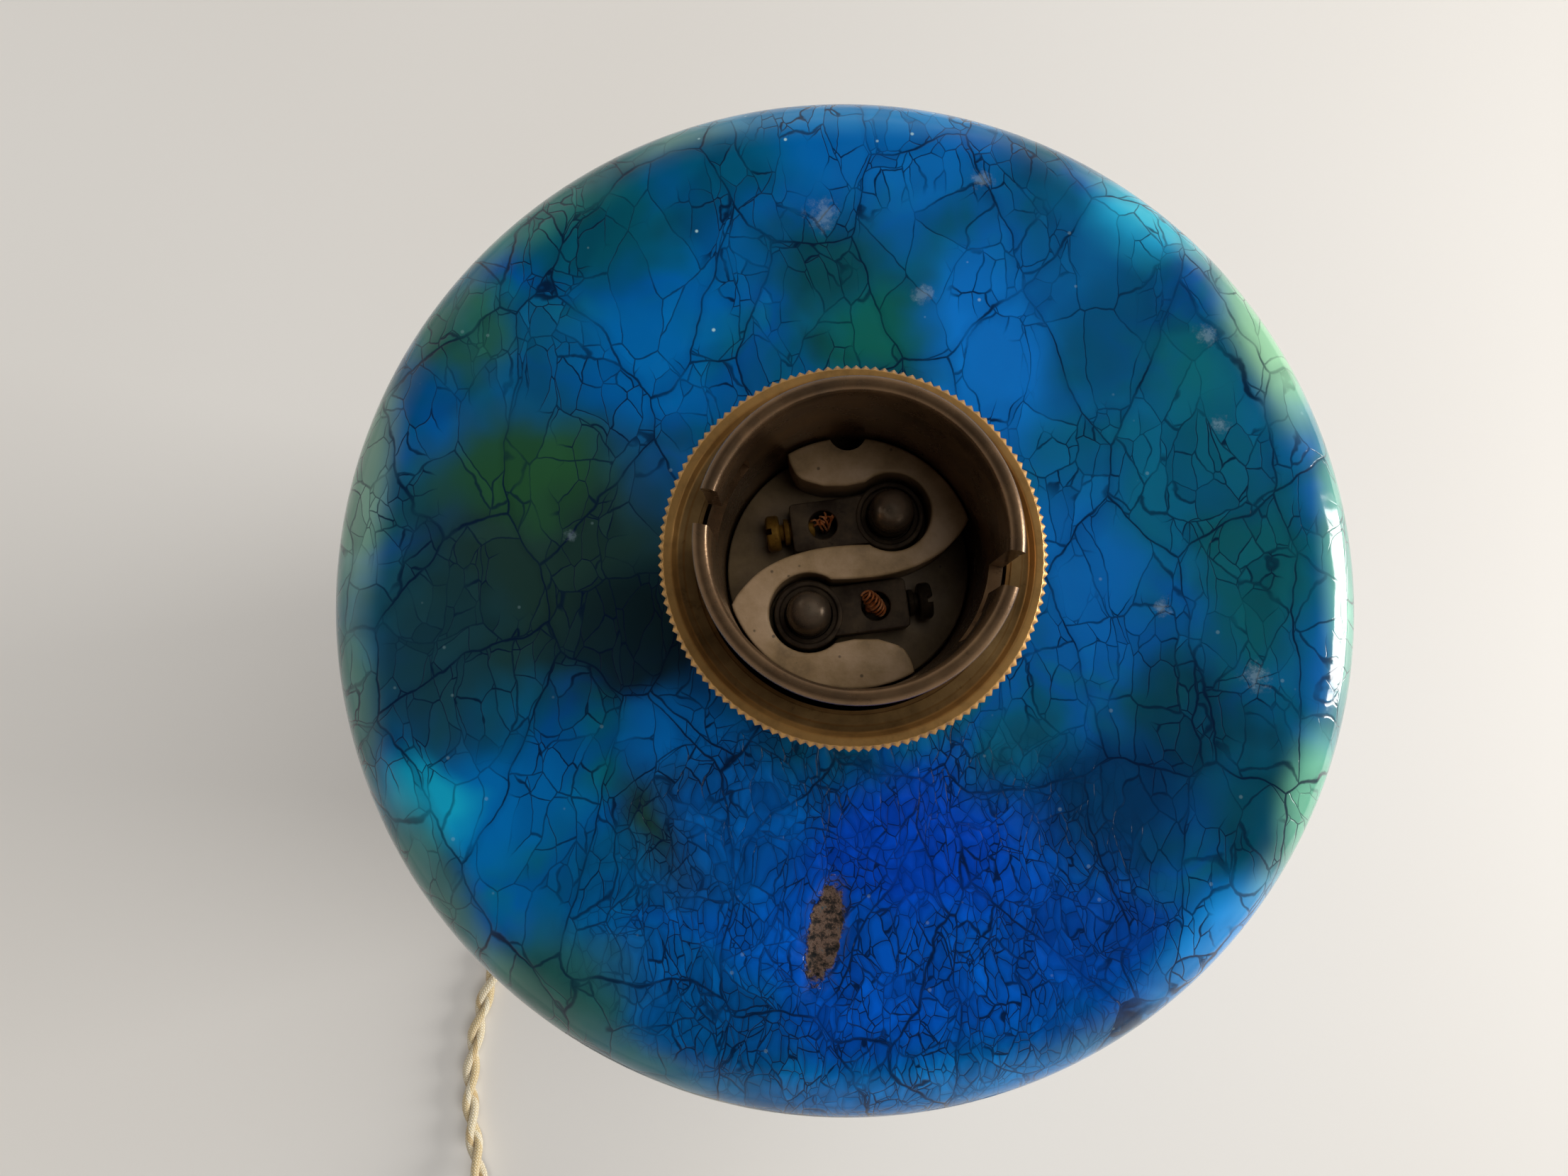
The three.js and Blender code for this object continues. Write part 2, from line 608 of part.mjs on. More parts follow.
function plug() {
  const middle = (PLUG.low + PLUG.height) / 2;
  const screw = piece('plug_screw', plugScrew(), 'nickel');
  screw.position.x = PLUG.length - 11;
  const set = group(piece('plug_body', plugBody(), 'bakelite'), screw);
  for (const [letter, side] of [['a', 1], ['b', -1]]) {
    const pin = piece(`plug_pin_${letter}`, plugPin(), 'nickel');
    pin.position.set(0, side * PIN_SPAN, middle);
    set.add(pin);
  }
  set.position.set(PLUG.x, PLUG.y, 0);
  set.rotation.z = radians(PLUG.turn);
  return set;
}

function wiring() {
  const coil = piece('flex_coil', flexCoil(), 'cloth');
  coil.position.set(COIL.x, COIL.y, 0);
  return group(
    piece('flex_inside', flexInside(), 'cloth'),
    piece('core_a', core(1), 'insulation'),
    piece('core_b', core(-1), 'insulation'),
    piece('flex_run', freeFlex(RUN_TO_SWITCH, 28), 'cloth'),
    piece('flex_link', freeFlex(RUN_TO_COIL, 14), 'cloth'),
    piece('flex_tail', freeFlex(RUN_TO_PLUG, 10), 'cloth'),
    coil,
  );
}

const lamp = group(ceramicAndFixings(), lampholder(), wiring(), inlineSwitch(), plug());
lamp.name = 'table_lamp';

export default lamp;
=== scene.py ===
"""Looks for the ceramic table lamp: crackle glaze, aged brass lampholder, porcelain and cloth flex.

Shapes are worked out in millimetres in the lamp's frame and scaled to metres as each mesh is made.
"""
import math

import bmesh
import bpy
import numpy as np
from mathutils import Euler, Matrix, Vector, noise


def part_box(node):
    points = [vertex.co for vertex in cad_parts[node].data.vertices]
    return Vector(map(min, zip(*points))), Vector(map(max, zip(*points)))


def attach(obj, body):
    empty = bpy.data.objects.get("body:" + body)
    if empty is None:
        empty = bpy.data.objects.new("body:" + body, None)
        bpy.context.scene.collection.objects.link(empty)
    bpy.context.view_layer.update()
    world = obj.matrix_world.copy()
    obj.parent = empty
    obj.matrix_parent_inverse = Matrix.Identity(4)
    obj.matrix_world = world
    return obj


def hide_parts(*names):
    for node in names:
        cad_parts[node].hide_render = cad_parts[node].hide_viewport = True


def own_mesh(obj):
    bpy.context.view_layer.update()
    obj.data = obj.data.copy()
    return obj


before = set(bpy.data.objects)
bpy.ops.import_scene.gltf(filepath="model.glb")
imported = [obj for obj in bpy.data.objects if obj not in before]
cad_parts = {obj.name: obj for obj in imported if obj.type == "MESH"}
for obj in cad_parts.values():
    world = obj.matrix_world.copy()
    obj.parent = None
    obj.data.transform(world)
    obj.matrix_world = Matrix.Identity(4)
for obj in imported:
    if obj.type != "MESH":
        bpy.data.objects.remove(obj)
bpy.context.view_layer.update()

MM = 0.001
LAMP = "lamp"                      # the body that every piece which doesn't move rides on


def span(node):
    """Lowest and highest corner of a CAD node, in millimetres."""
    low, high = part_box(node)
    return low / MM, high / MM


def linked(thing):
    """Puts an object in the scene."""
    bpy.context.scene.collection.objects.link(thing)
    return thing


RIM_Z = span("bayonet_barrel")[1].z
TOP_Z = span("ceramic_body")[1].z
FOOT_Z = span("ceramic_body")[0].z
RING_LOW, RING_HIGH = span("shade_ring")
SWITCH_LOW, SWITCH_HIGH = span("switch_base")
SWITCH_TOP = span("switch_cover")[1].z


# ---- camera ----

SENSOR_WIDTH = 36
LENS = 26.7
EYE = (-4.4, -12.9, RIM_Z + 86.3)
EYE_TILT = (6.0, 0.8, 0.0)         # degrees about X, Y and Z, from looking straight down


def make_camera():
    data = bpy.data.cameras.new("view")
    data.sensor_width = SENSOR_WIDTH
    data.lens = LENS
    data.clip_start = 0.01
    camera = bpy.data.objects.new("view", data)
    camera.location = Vector(EYE) * MM
    camera.rotation_euler = Euler([math.radians(angle) for angle in EYE_TILT])
    linked(camera)
    bpy.context.scene.camera = camera


# ---- meshes ----

def add_piece(name, mesh, material, body=LAMP, sharp=35):
    """Links a mesh as a piece that rides on a body, shaded smooth up to an angle in degrees."""
    mesh.polygons.foreach_set("use_smooth", [True] * len(mesh.polygons))
    mesh.set_sharp_from_angle(angle=math.radians(sharp))
    mesh.materials.clear()
    mesh.materials.append(material)
    piece = linked(bpy.data.objects.new(name, mesh))
    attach(piece, body)
    return piece


def mesh_from(points, faces):
    """A mesh from points in millimetres."""
    mesh = bpy.data.meshes.new("shape")
    mesh.from_pydata((np.asarray(points, float) * MM).tolist(), [], faces)
    mesh.update()
    return mesh


def joined(*meshes):
    """One mesh of several, each kept as it is."""
    work = bmesh.new()
    for mesh in meshes:
        work.from_mesh(mesh)
    whole = bpy.data.meshes.new("joined")
    work.to_mesh(whole)
    work.free()
    return whole


def moved(mesh, matrix):
    copy = mesh.copy()
    copy.transform(matrix)
    return copy


def shift(x=0.0, y=0.0, z=0.0):
    return Matrix.Translation(Vector((x, y, z)) * MM)


def turn(degrees, axis="Z"):
    return Matrix.Rotation(math.radians(degrees), 4, axis)


ALONG_X = turn(90, "Y")
EDGE_SHARE = 0.49                  # how much of an edge one corner's arc may take
STRAIGHT = math.radians(88)        # half the angle past which a corner is left as it is


def rounded(corners, radii, steps=4):
    """A closed outline with each corner replaced by an arc of its own radius."""
    outline = []
    count = len(corners)
    for i, corner in enumerate(corners):
        radius = radii[i] if hasattr(radii, "__len__") else radii
        here = np.array(corner, float)
        back = np.array(corners[i - 1], float) - here
        ahead = np.array(corners[(i + 1) % count], float) - here
        room = EDGE_SHARE * min(np.linalg.norm(back), np.linalg.norm(ahead))
        back, ahead = back / np.linalg.norm(back), ahead / np.linalg.norm(ahead)
        half = math.acos(np.clip(back @ ahead, -1, 1)) / 2
        if radius <= 0 or half > STRAIGHT:
            outline.append(here)
            continue
        reach = min(radius / math.tan(half), room)
        radius = reach * math.tan(half)
        middle = here + (back + ahead) / np.linalg.norm(back + ahead) * radius / math.sin(half)
        first, last = here + back * reach - middle, here + ahead * reach - middle
        for k in range(steps + 1):
            mixed = first * (1 - k / steps) + last * (k / steps)
            outline.append(middle + mixed / np.linalg.norm(mixed) * radius)
    return outline


def turned(profile, facets=96, shape=None):
    """A closed profile of (radius, z) turned about Z; shape(points) may move the points."""
    profile = np.asarray(profile, float)
    count = len(profile)
    angles = np.linspace(0, 2 * np.pi, facets, endpoint=False)
    radius, height = profile[:, 0][None, :], profile[:, 1][None, :]
    points = np.stack([radius * np.cos(angles)[:, None], radius * np.sin(angles)[:, None],
                       np.repeat(height, facets, 0)], -1).reshape(-1, 3)
    if shape:
        points = shape(points)
    faces = []
    for j in range(facets):
        here, there = j * count, ((j + 1) % facets) * count
        for i in range(count):
            k = (i + 1) % count
            faces.append((here + i, there + i, there + k, here + k))
    mesh = mesh_from(points, faces)
    weld(mesh)
    return mesh


def lathe(corners, facets=96, shape=None):
    """A solid turned about Z from corners of (radius, height, easing)."""
    outline = rounded([corner[:2] for corner in corners], [corner[2] for corner in corners])
    return turned(outline, facets, shape)


def weld(mesh, gap=1e-3):
    """Merges points closer than the gap, drops faces without area and turns the rest outwards."""
    work = bmesh.new()
    work.from_mesh(mesh)
    bmesh.ops.remove_doubles(work, verts=work.verts, dist=gap * MM)
    bmesh.ops.dissolve_degenerate(work, edges=work.edges, dist=gap * MM)
    bmesh.ops.recalc_face_normals(work, faces=work.faces)
    work.to_mesh(mesh)
    work.free()


def bar(radius, low, high, edge=0.15, facets=32):
    """A round bar along Z with eased ends."""
    return lathe([(0, low, 0), (radius, low, edge), (radius, high, edge), (0, high, 0)], facets)


def circle(x, y, radius, start=0.0, end=360.0, count=48):
    """Points along an arc, in degrees; a full circle leaves out the repeated last point."""
    full = abs(end - start) >= 360
    angles = np.radians(np.linspace(start, end, count, endpoint=not full))
    return [(x + radius * math.cos(a), y + radius * math.sin(a)) for a in angles]


def evaluated(holder):
    """An object's mesh with its modifiers and bevels worked out."""
    bpy.context.view_layer.update()
    return bpy.data.meshes.new_from_object(holder.evaluated_get(bpy.context.evaluated_depsgraph_get()))


def slab(outlines, low, high, edge=0.2):
    """Flat outlines, the later ones holes, raised from low to high with rounded edges."""
    curve = bpy.data.curves.new("outline", "CURVE")
    curve.dimensions = "2D"
    curve.fill_mode = "BOTH"
    curve.extrude = ((high - low) / 2 - edge) * MM
    curve.bevel_depth = edge * MM
    curve.bevel_resolution = 3
    curve.offset = -edge * MM
    for outline in outlines:
        spline = curve.splines.new("POLY")
        spline.points.add(len(outline) - 1)
        for point, (x, y) in zip(spline.points, outline):
            point.co = (x * MM, y * MM, 0, 1)
        spline.use_cyclic_u = True
    holder = linked(bpy.data.objects.new("outline", curve))
    mesh = evaluated(holder)
    bpy.data.objects.remove(holder)
    mesh.transform(shift(z=(low + high) / 2))
    weld(mesh)
    return mesh


def cut(mesh, *cutters):
    """The mesh with each cutter taken away."""
    holder = linked(bpy.data.objects.new("cut", mesh))
    tools = []
    for cutter in cutters:
        tool = linked(bpy.data.objects.new("tool", cutter))
        modifier = holder.modifiers.new("cut", "BOOLEAN")
        modifier.operation = "DIFFERENCE"
        modifier.solver = "EXACT"
        modifier.object = tool
        tools.append(tool)
    result = evaluated(holder)
    for used in [holder, *tools]:
        bpy.data.objects.remove(used)
    return result


def box_mesh(x0, x1, y0, y1, z0, z1):
    corners = [(x, y, z) for x in (x0, x1) for y in (y0, y1) for z in (z0, z1)]
    faces = [(0, 1, 3, 2), (4, 6, 7, 5), (0, 4, 5, 1), (2, 3, 7, 6), (0, 2, 6, 4), (1, 5, 7, 3)]
    return mesh_from(corners, faces)


def along_path(path):
    """Distance from the path's start to each of its points."""
    return np.concatenate([[0], np.cumsum(np.linalg.norm(np.diff(path, axis=0), axis=1))])


def smooth_path(controls, step=1.0, per_span=24):
    """Catmull-Rom line through the points, resampled to even steps."""
    p = np.asarray(controls, float)
    p = np.vstack([2 * p[0] - p[1], p, 2 * p[-1] - p[-2]])
    dense = []
    for i in range(1, len(p) - 2):
        t = np.linspace(0, 1, per_span, endpoint=False)[:, None]
        a, b, c, d = p[i - 1], p[i], p[i + 1], p[i + 2]
        dense.append(0.5 * (2 * b + (c - a) * t + (2 * a - 5 * b + 4 * c - d) * t**2
                            + (3 * b - a - 3 * c + d) * t**3))
    dense = np.vstack([*dense, p[-2][None, :]])
    along = along_path(dense)
    even = np.linspace(0, along[-1], max(2, int(along[-1] / step)))
    return np.stack([np.interp(even, along, dense[:, k]) for k in range(3)], 1)


def path_frames(path):
    """Two unit vectors across the path at each point, carried along without spinning."""
    tangents = np.gradient(path, axis=0)
    tangents /= np.linalg.norm(tangents, axis=1)[:, None]
    side = np.cross(tangents[0], (0, 0, 1.0))
    if np.linalg.norm(side) < 0.1:
        side = np.cross(tangents[0], (0, 1.0, 0))
    first = []
    for tangent in tangents:
        side = side - tangent * (side @ tangent)
        side /= np.linalg.norm(side)
        first.append(side)
    first = np.array(first)
    return first, np.cross(tangents, first)


def tube_mesh(path, radius, sides=12):
    """A round tube with capped ends; its UV runs once round and in millimetres along."""
    across, over = path_frames(path)
    angles = np.linspace(0, 2 * np.pi, sides, endpoint=False)
    ring = (across[:, None, :] * np.cos(angles)[None, :, None]
            + over[:, None, :] * np.sin(angles)[None, :, None]) * radius
    points = (path[:, None, :] + ring).reshape(-1, 3)
    count = len(path)
    faces = []
    for i in range(count - 1):
        for j in range(sides):
            k = (j + 1) % sides
            faces.append((i * sides + j, i * sides + k, (i + 1) * sides + k, (i + 1) * sides + j))
    faces.append(tuple(range(sides))[::-1])
    faces.append(tuple((count - 1) * sides + j for j in range(sides)))
    mesh = mesh_from(points, faces)
    layer = mesh.uv_layers.new(name="along")
    reach = along_path(path)
    uv = []
    for i in range(count - 1):
        for j in range(sides):
            for point, side in ((i, j), (i, j + 1), (i + 1, j + 1), (i + 1, j)):
                uv.extend((side / sides, reach[point]))
    uv.extend([0.0, 0.0] * (2 * sides))
    layer.data.foreach_set("uv", uv)
    return mesh


# ---- materials ----

def tone(code):
    """A hex colour as linear light."""
    parts = [int(code[i:i + 2], 16) / 255 for i in (0, 2, 4)]
    return (*[p / 12.92 if p <= 0.04045 else ((p + 0.055) / 1.055) ** 2.4 for p in parts], 1)


class Paint:
    """A procedural material being built; positions in it are in millimetres."""

    def __init__(self, name, **sockets):
        self.material = bpy.data.materials.new(name)
        self.material.use_nodes = True
        self.tree = self.material.node_tree
        self.shader = self.tree.nodes["Principled BSDF"]
        for socket, value in sockets.items():
            self.shader.inputs[socket.replace("_", " ")].default_value = value
        place = self.node("ShaderNodeTexCoord").outputs["Object"]
        self.mm = self.vector("SCALE", place, Scale=1 / MM)
        split = self.node("ShaderNodeSeparateXYZ", Vector=self.mm)
        self.x, self.y, self.z = split.outputs
        self.flat = self.vector("MULTIPLY", self.mm, (1, 1, 0))
        self.radius = self.vector("LENGTH", self.flat)

    def node(self, kind, settings=(), **inputs):
        made = self.tree.nodes.new(kind)
        for key, value in dict(settings).items():
            setattr(made, key, value)
        for socket, value in inputs.items():
            self.feed(made.inputs[socket.replace("_", " ")], value)
        return made

    def feed(self, socket, value):
        if isinstance(value, bpy.types.NodeSocket):
            self.tree.links.new(value, socket)
        else:
            socket.default_value = value

    def vector(self, operation, first, second=None, **inputs):
        """A vector sum; lengths and distances come out as numbers."""
        made = self.node("ShaderNodeVectorMath", {"operation": operation}, **inputs)
        self.feed(made.inputs[0], first)
        if second is not None:
            self.feed(made.inputs[1], second)
        return made.outputs["Value" if operation in ("LENGTH", "DISTANCE") else "Vector"]

    def math(self, operation, first, second=0.0):
        made = self.node("ShaderNodeMath", {"operation": operation})
        self.feed(made.inputs[0], first)
        self.feed(made.inputs[1], second)
        return made.outputs[0]

    def times(self, first, second):
        return self.math("MULTIPLY", first, second)

    def plus(self, first, second):
        return self.math("ADD", first, second)

    def minus(self, first, second):
        return self.math("SUBTRACT", first, second)

    def reach(self, place, x, y, wide, tall):
        """Distance across from a spot, 1 at the edge of an ellipse of these half sizes."""
        offset = self.vector("SUBTRACT", place, (x, y, 0))
        return self.vector("LENGTH", self.vector("MULTIPLY", offset, (1 / wide, 1 / tall, 0)))

    def step(self, value, low, high, start=0.0, end=1.0):
        """Eases from start to end as the value goes from low to high."""
        made = self.node("ShaderNodeMapRange", {"interpolation_type": "SMOOTHSTEP"}, Value=value)
        for socket, number in zip(("From Min", "From Max", "To Min", "To Max"), (low, high, start, end)):
            made.inputs[socket].default_value = number
        return made.outputs["Result"]

    def noise(self, size, detail=3, rough=0.55, place=None, wave=0.0):
        """Cloudy noise with features of about this size in millimetres."""
        made = self.node("ShaderNodeTexNoise", Vector=place or self.mm, Scale=1 / size,
                         Detail=detail, Roughness=rough, Distortion=wave)
        return made.outputs["Fac"]

    def cells(self, size, feature="F1", place=None, output="Distance"):
        """Random cells about this many millimetres across."""
        made = self.node("ShaderNodeTexVoronoi", {"feature": feature}, Vector=place or self.mm,
                         Scale=1 / size)
        return made.outputs[output]

    def ramp(self, value, *stops):
        """Colours at places from 0 to 1, with even blends between them."""
        made = self.node("ShaderNodeValToRGB", Fac=value)
        band = made.color_ramp
        while len(band.elements) < len(stops):
            band.elements.new(0.5)
        for element, (place, colour) in zip(band.elements, stops):
            element.position = place
            element.color = tone(colour)
        return made.outputs["Color"]

    def mix(self, factor, first, second, kind="MIX"):
        made = self.node("ShaderNodeMix", {"data_type": "RGBA", "blend_type": kind})
        for socket, value in zip((0, 6, 7), (factor, first, second)):
            self.feed(made.inputs[socket], tone(value) if isinstance(value, str) else value)
        return made.outputs[2]

    def bump(self, height, distance, strength=1.0):
        """Relief of so many millimetres; calls add up."""
        last = self.shader.inputs["Normal"]
        made = self.node("ShaderNodeBump", Height=height, Distance=distance * MM, Strength=strength)
        if last.is_linked:
            self.tree.links.new(last.links[0].from_socket, made.inputs["Normal"])
        self.feed(last, made.outputs["Normal"])

    def set(self, socket, value):
        self.feed(self.shader.inputs[socket], tone(value) if isinstance(value, str) else value)


# Soft pools of colour in the glaze: middle x and y, size across x and y, colour, strength.
GLAZE_POOLS = [
    (-31, 4, 20, 17, "213c36", 1.0), (-20, -6, 13, 9, "172c30", 0.9), (-17, -23, 7, 12, "1f3a2c", 0.9),
    (-42, -8, 10, 12, "1c3f45", 0.8), (-34, 13, 11, 8, "24502f", 0.9), (-31, 24, 8, 8, "0c5a86", 0.8),
    (-40, 27, 7, 7, "2c6442", 0.8), (-20, 24, 10, 9, "0168b0", 0.95), (-26, 38, 8, 8, "04505f", 0.9),
    (-12, 34, 7, 10, "0168b0", 0.7), (-12, 46, 9, 8, "015a78", 0.9), (-2, 34, 8, 6, "0b4a50", 0.9),
    (4, 27, 7, 6, "0c6052", 0.85), (7, 47, 17, 8, "0168b4", 0.95), (16, 25, 9, 13, "0172c8", 1.0),
    (24, 34, 9, 9, "0160a0", 0.7), (34, 40, 9, 8, "1ba6d6", 0.85), (28, 26, 9, 8, "014a72", 0.8),
    (38, 18, 9, 11, "076070", 0.85), (29, 10, 11, 11, "04607e", 0.85), (24, 2, 8, 12, "0162ae", 0.9),
    (42, 0, 7, 14, "0a5a60", 0.85), (34, -14, 9, 9, "063a4a", 0.9), (43, -24, 9, 9, "04404e", 0.9),
    (26, -22, 12, 8, "023058", 0.9), (40, -36, 8, 7, "1486cc", 0.85),
    (6, -37, 32, 15, "0158bc", 0.9), (24, -35, 12, 9, "023e9a", 0.7),
    (6, -26, 17, 10, "0146bc", 1.0), (0, -41, 15, 8, "014eb4", 0.8), (-15, -15, 9, 7, "0170c4", 0.95),
    (-10, -24, 8, 8, "0160b4", 0.8), (-34, -22, 11, 7, "0168ac", 0.95), (-43, -23, 6, 6, "12a0c0", 0.9),
    (-26, -30, 9, 7, "02588e", 0.7), (-28, -40, 9, 7, "25564a", 0.85), (-13, -42, 9, 8, "015490", 0.85),
]

# The same where the glaze is thin along the rolled edge.
RIM_POOLS = [
    (-51, 12, 6, 17, "7ea58c", 0.85), (-52, -12, 6, 14, "4f8070", 0.8), (-43, -31, 8, 12, "3f6f60", 0.8),
    (-32, -44, 14, 6, "2a5f58", 0.85), (46, 27, 8, 13, "8cbf94", 0.9), (52, 2, 4, 20, "6aae90", 0.75),
    (48, -22, 6, 9, "6fb894", 0.8), (-34, 40, 14, 6, "2c7f74", 0.7), (36, 41, 10, 6, "2fb4c8", 0.8),
    (12, -51, 32, 7, "0a80cc", 0.85), (2, 53, 28, 6, "0c8cc8", 0.8), (39, -38, 13, 11, "1688d0", 0.8),
]

# Small frosted or scuffed places: middle x and y, radius.
SCUFFS = [(41.5, -9.5, 3.2), (32.5, -2.5, 2.0), (38, 26, 2.6), (39, 16.5, 2.2), (8.5, 30.5, 2.4),
          (-2, 39.5, 3.6), (15, 43, 2.2), (-28, 5, 1.4)]

# The chip in the glaze: its middle, half sizes, sideways lean and depth.
CHIP = {"x": -2.0, "y": -35.0, "half_x": 2.0, "half_y": 6.0, "lean": 0.16, "depth": 0.75}

# The front of the top, where the crazing is finest: middle and half sizes.
FINE_CRAZING = (3, -33, 30, 22)
CRACK_COLOUR = "03142e"

# Radii between which the glaze thins at the rolled edge, and those from which its pale pools show.
THIN_EDGE = (49.6, 52.8)
PALE_EDGE = (46.2, 49.5)
# Heights between which the wall's runs, the dark glaze at the foot and the top's chip fade.
RUNS_END = (250, 272)
FOOT_GLAZE_END = (9, 22)
TOP_STARTS = (260, 262)


def pooled(paint, colour, pools, place, near, far, where=1.0):
    """The colour with soft pools of other colours laid over it, as far as where allows."""
    for x, y, wide, tall, shade, strength in pools:
        amount = paint.step(paint.reach(place, x, y, wide, tall), near, far, strength, 0.0)
        colour = paint.mix(paint.times(amount, where), colour, shade)
    return colour


def glaze_colour(paint, place):
    """Pools on the top, thin pale glaze at the rolled edge and long runs down the wall."""
    cloud = paint.noise(16, 3, 0.55, wave=0.4)
    colour = paint.ramp(cloud, (0.25, "0e3c44"), (0.42, "03587a"), (0.55, "01589c"), (0.7, "0a6a72"))
    flat = paint.vector("MULTIPLY", place, (1, 1, 0))
    colour = pooled(paint, colour, GLAZE_POOLS, flat, 0.35, 1.15)
    edge = paint.step(paint.plus(paint.radius, paint.noise(13, 1)), *THIN_EDGE, 0.0, 0.6)
    thin = paint.ramp(paint.noise(22, 1), (0.38, "4f8a72"), (0.5, "1f6a66"), (0.62, "7fae94"))
    colour = paint.mix(paint.times(edge, paint.step(paint.noise(26, 1), 0.3, 0.62)), colour, thin)
    colour = pooled(paint, colour, RIM_POOLS, paint.flat, 0.3, 1.1, paint.step(paint.radius, *PALE_EDGE))
    runs = paint.noise(19, 3, 0.5, place=paint.vector("MULTIPLY", place, (1, 1, 0.22)), wave=0.6)
    wall = paint.ramp(runs, (0.3, "10393f"), (0.42, "02508a"), (0.5, "0168b4"), (0.57, "0a7888"),
                      (0.68, "1d5544"))
    low = paint.step(paint.plus(paint.z, paint.times(cloud, 14.0)), *RUNS_END, 1.0, 0.0)
    colour = paint.mix(low, colour, wall)
    foot = paint.step(paint.plus(paint.z, paint.times(runs, 10.0)), *FOOT_GLAZE_END, 0.75, 0.0)
    return paint.mix(foot, colour, "0a2c3c")


def crazed(paint, colour, drift, flat):
    """Long cracks part the glaze into plates, and finer ones part each plate again.

    Gives the colour, the cracks, and the height of the pebbles between the finest cracks.
    """
    tremble = paint.node("ShaderNodeTexNoise", Vector=paint.mm, Scale=0.9, Detail=1).outputs["Color"]
    shaken = paint.vector("ADD", paint.vector("SCALE", drift, Scale=3.6),
                          paint.vector("SCALE", tremble, Scale=0.22))
    grain = paint.vector("ADD", paint.vector("MULTIPLY", paint.mm, (1, 0.62, 0.62)), shaken)
    busy = paint.step(paint.reach(flat, *FINE_CRAZING), 0.74, 1.08, 1.0, 0.0)
    half_busy = paint.math("MAXIMUM", busy, paint.step(paint.noise(15, 1), 0.44, 0.52))
    cracks = 0.0
    gaps = []
    # Each round: the plates' size, the crack's width, how strong it is and how much plates differ.
    for size, width, amount, contrast in ((12.5, 0.09, 1.0, 0.0), (5.6, 0.065, 0.8, 0.35),
                                          (2.5, 0.05, half_busy, paint.times(half_busy, 0.45)),
                                          (1.3, 0.036, busy, paint.times(busy, 0.4))):
        gap = paint.times(paint.cells(size, "DISTANCE_TO_EDGE", grain), size)
        gaps.append(gap)
        line = paint.times(paint.step(gap, width * 0.3, width * 1.5, 1.0, 0.0), amount)
        cracks = paint.math("MAXIMUM", cracks, line)
        plate = paint.cells(size, "F1", grain, "Color")
        grain = paint.vector("ADD", grain, paint.vector("SCALE", plate, Scale=60.0))
        level = paint.node("ShaderNodeSeparateColor", Color=plate).outputs[0]
        tint = paint.ramp(level, (0.0, "a4acb8"), (1.0, "ffffff"))
        colour = paint.mix(contrast, colour, tint, "MULTIPLY")
    pebble = paint.times(paint.step(gaps[-1], 0.08, 0.4, 0.0, 0.5), busy)
    colour = paint.mix(pebble, colour, (1.2, 1.5, 1.5, 1), "MULTIPLY")
    colour = paint.mix(paint.step(gaps[0], 0.05, 0.8, 0.14, 0.0), colour, "3a5a88", "MULTIPLY")
    cracks = paint.times(cracks, paint.step(paint.noise(6, 2), 0.3, 0.62, 0.3, 0.9))
    colour = paint.mix(cracks, colour, CRACK_COLOUR)
    return colour, cracks, paint.times(paint.step(gaps[-1], 0.0, 0.45), busy)


def scuffed(paint):
    """Where the surface is frosted or scuffed."""
    dull = 0.0
    for x, y, size in SCUFFS:
        away = paint.vector("DISTANCE", paint.flat, (x, y, 0))
        ragged = paint.plus(away, paint.times(paint.noise(1.1, 4, 0.75), size * 1.6))
        dull = paint.math("MAXIMUM", dull, paint.step(ragged, size * 0.75, size * 1.35, 1.0, 0.0))
    return dull


def chipped(paint):
    """Where the chip has bared the body."""
    down = paint.minus(paint.y, CHIP["y"])
    aside = paint.minus(paint.minus(paint.x, CHIP["x"]), paint.times(down, CHIP["lean"]))
    offset = paint.node("ShaderNodeCombineXYZ", X=paint.math("DIVIDE", aside, CHIP["half_x"]),
                        Y=paint.math("DIVIDE", down, CHIP["half_y"])).outputs[0]
    ragged = paint.plus(paint.vector("LENGTH", offset), paint.times(paint.noise(1.6, 3, 0.7), 0.9))
    return paint.times(paint.step(ragged, 1.2, 1.34, 1.0, 0.0), paint.step(paint.z, *TOP_STARTS))


